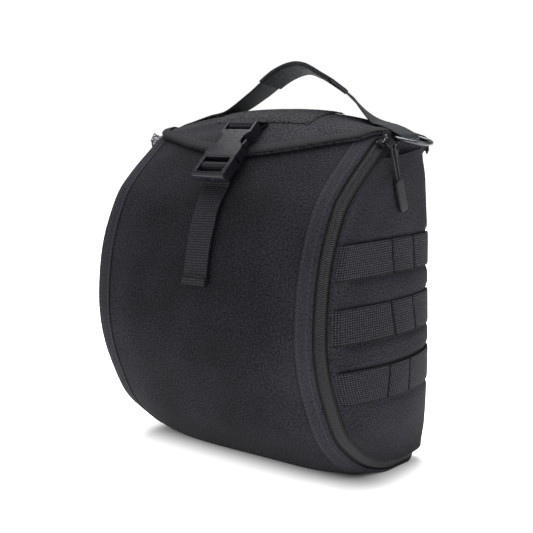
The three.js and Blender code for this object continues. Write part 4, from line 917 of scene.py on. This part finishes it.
def put_sleeve(name, outer, inner, material):
    """An open tube with a wall: outer and inner rings joined at the two ends and closed round."""
    rows, columns = outer.shape[0], outer.shape[1] - 1
    at = np.arange(rows * columns).reshape(rows, columns)
    on = np.roll(at, -1, 1)
    face = np.stack([at[:-1], at[1:], on[1:], on[:-1]], -1).reshape(-1, 4)
    count = at.size
    near = np.stack([at[0], on[0], on[0] + count, at[0] + count], -1)
    far = np.stack([at[-1], at[-1] + count, on[-1] + count, on[-1]], -1)
    points = np.concatenate([outer[:, :-1].reshape(-1, 3), inner[:, :-1].reshape(-1, 3)])
    uv = np.stack([run_length(outer, 0), run_length(outer, 1)], -1)[:, :-1].reshape(-1, 2)
    faces = np.concatenate([face, face[:, ::-1] + count, near, far])
    return put_mesh(name, points, faces, material, np.concatenate([uv, uv]))


sleeve_cloth = ribbed("handle_sleeve_cloth", (0.011, 0.0132, 0.016, 1), pitch=1.2, specular=0.12)
sleeve = put_sleeve("handle_sleeve_cloth", sleeve_face(SLEEVE_GAP + SLEEVE_WALL), sleeve_face(SLEEVE_GAP),
                    sleeve_cloth)
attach(sleeve, "bag")
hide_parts("handle_sleeve")

# D-rings: bent steel wire in dark plating, with a straight bar inside each end loop of the handle,
# lying out over the side.
ring_tilt = np.radians(13)
ring_out = np.array([np.cos(ring_tilt), 0, -np.sin(ring_tilt)])
ring_along = np.array([0.0, 1, 0])
ring_rows = np.array([  # reach from the bar, place along it
    [0, 0], [0, 7], [0, 13], [2.6, 15.7], [9, 14.8], [15, 11.2], [18.7, 5.6], [19.9, 0],
    [18.7, -5.6], [15, -11.2], [9, -14.8], [2.6, -15.7], [0, -13], [0, -7]])
ring_points = ring_bar + ring_rows[:, :1] * ring_out + ring_rows[:, 1:] * ring_along
ring_path = curve_through(ring_points, 150, closed=True)
ring_normal = unit(np.cross(ring_out, ring_along))
ring_metal = metal("ring_metal", (0.12, 0.123, 0.13, 1), 0.28)
for name, turn in SIDES:
    ring = put_tube(f"{name}_d_ring_wire", ring_path * turn, RING_WIRE, ring_metal, ring_normal * turn,
                    sides=16, closed=True)
    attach(ring, f"{name}_d_ring")
    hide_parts(f"{name}_d_ring")

# Studio: a plain white floor that glows away from the bag like a lit sweep, a white surround that is
# dimmer as a light than it looks, and soft boxes above and at the sides.
BASE_MIDDLE, BASE_HALF = (0, 0.012, 0), (0.096, 0.026, 0)  # where the bag stands
floor_mesh = bpy.data.meshes.new("floor")
floor_mesh.from_pydata([(-9, -9, 0), (9, -9, 0), (9, 9, 0), (-9, 9, 0)], [], [(0, 1, 2, 3)])
floor = bpy.data.objects.new("floor", floor_mesh)
scene.collection.objects.link(floor)
sweep = Finish("floor_white", (0.92, 0.92, 0.92, 1), 0.9, specular=0.0)
floor_place = sweep.add("ShaderNodeTexCoord").outputs["Object"]
from_base = sweep.vector("ABSOLUTE", sweep.vector("SUBTRACT", floor_place, BASE_MIDDLE))
outside = sweep.vector("MAXIMUM", sweep.vector("SUBTRACT", from_base, BASE_HALF))
distance = sweep.vector("LENGTH", outside, result="Value")
# Painted light: the floor glows by its own emission, from none at the bag's footprint to full 60 mm out from
# it.
sweep.shader.inputs["Emission Color"].default_value = (1, 1, 1, 1)
sweep.tree.links.new(sweep.spread(distance, 0.0, 0.06, 0.0, 1.05), sweep.shader.inputs["Emission Strength"])
floor_mesh.materials.append(sweep.material)
world = bpy.data.worlds.new("surround")
world.use_nodes = True
sky = world.node_tree
seen = sky.nodes.new("ShaderNodeLightPath").outputs["Is Camera Ray"]
glow = sky.nodes.new("ShaderNodeMapRange")
glow.inputs["To Min"].default_value = 0.3
glow.inputs["To Max"].default_value = 1.0
sky.links.new(seen, glow.inputs["Value"])
sky.nodes["Background"].inputs["Color"].default_value = (1, 1, 1, 1)
sky.links.new(glow.outputs[0], sky.nodes["Background"].inputs["Strength"])
scene.world = world
for name, place, aim, size, power in (
        ("top_box", (-0.25, 0.2, 1.6), (0, 0, 0.2), 1.3, 35.5),
        ("left_box", (-1.5, -1.1, 0.9), (0, 0, 0.15), 1.0, 4.5),
        ("right_box", (1.7, 0.2, 0.9), (0, 0, 0.15), 1.0, 10.0)):
    light_data = bpy.data.lights.new(name, "AREA")
    light_data.size, light_data.energy = size, power
    light = bpy.data.objects.new(name, light_data)
    light.location = place
    toward = unit(np.array(aim) - np.array(place))
    light.rotation_euler = (np.arccos(-toward[2]), 0, np.arctan2(-toward[0], toward[1]))
    scene.collection.objects.link(light)
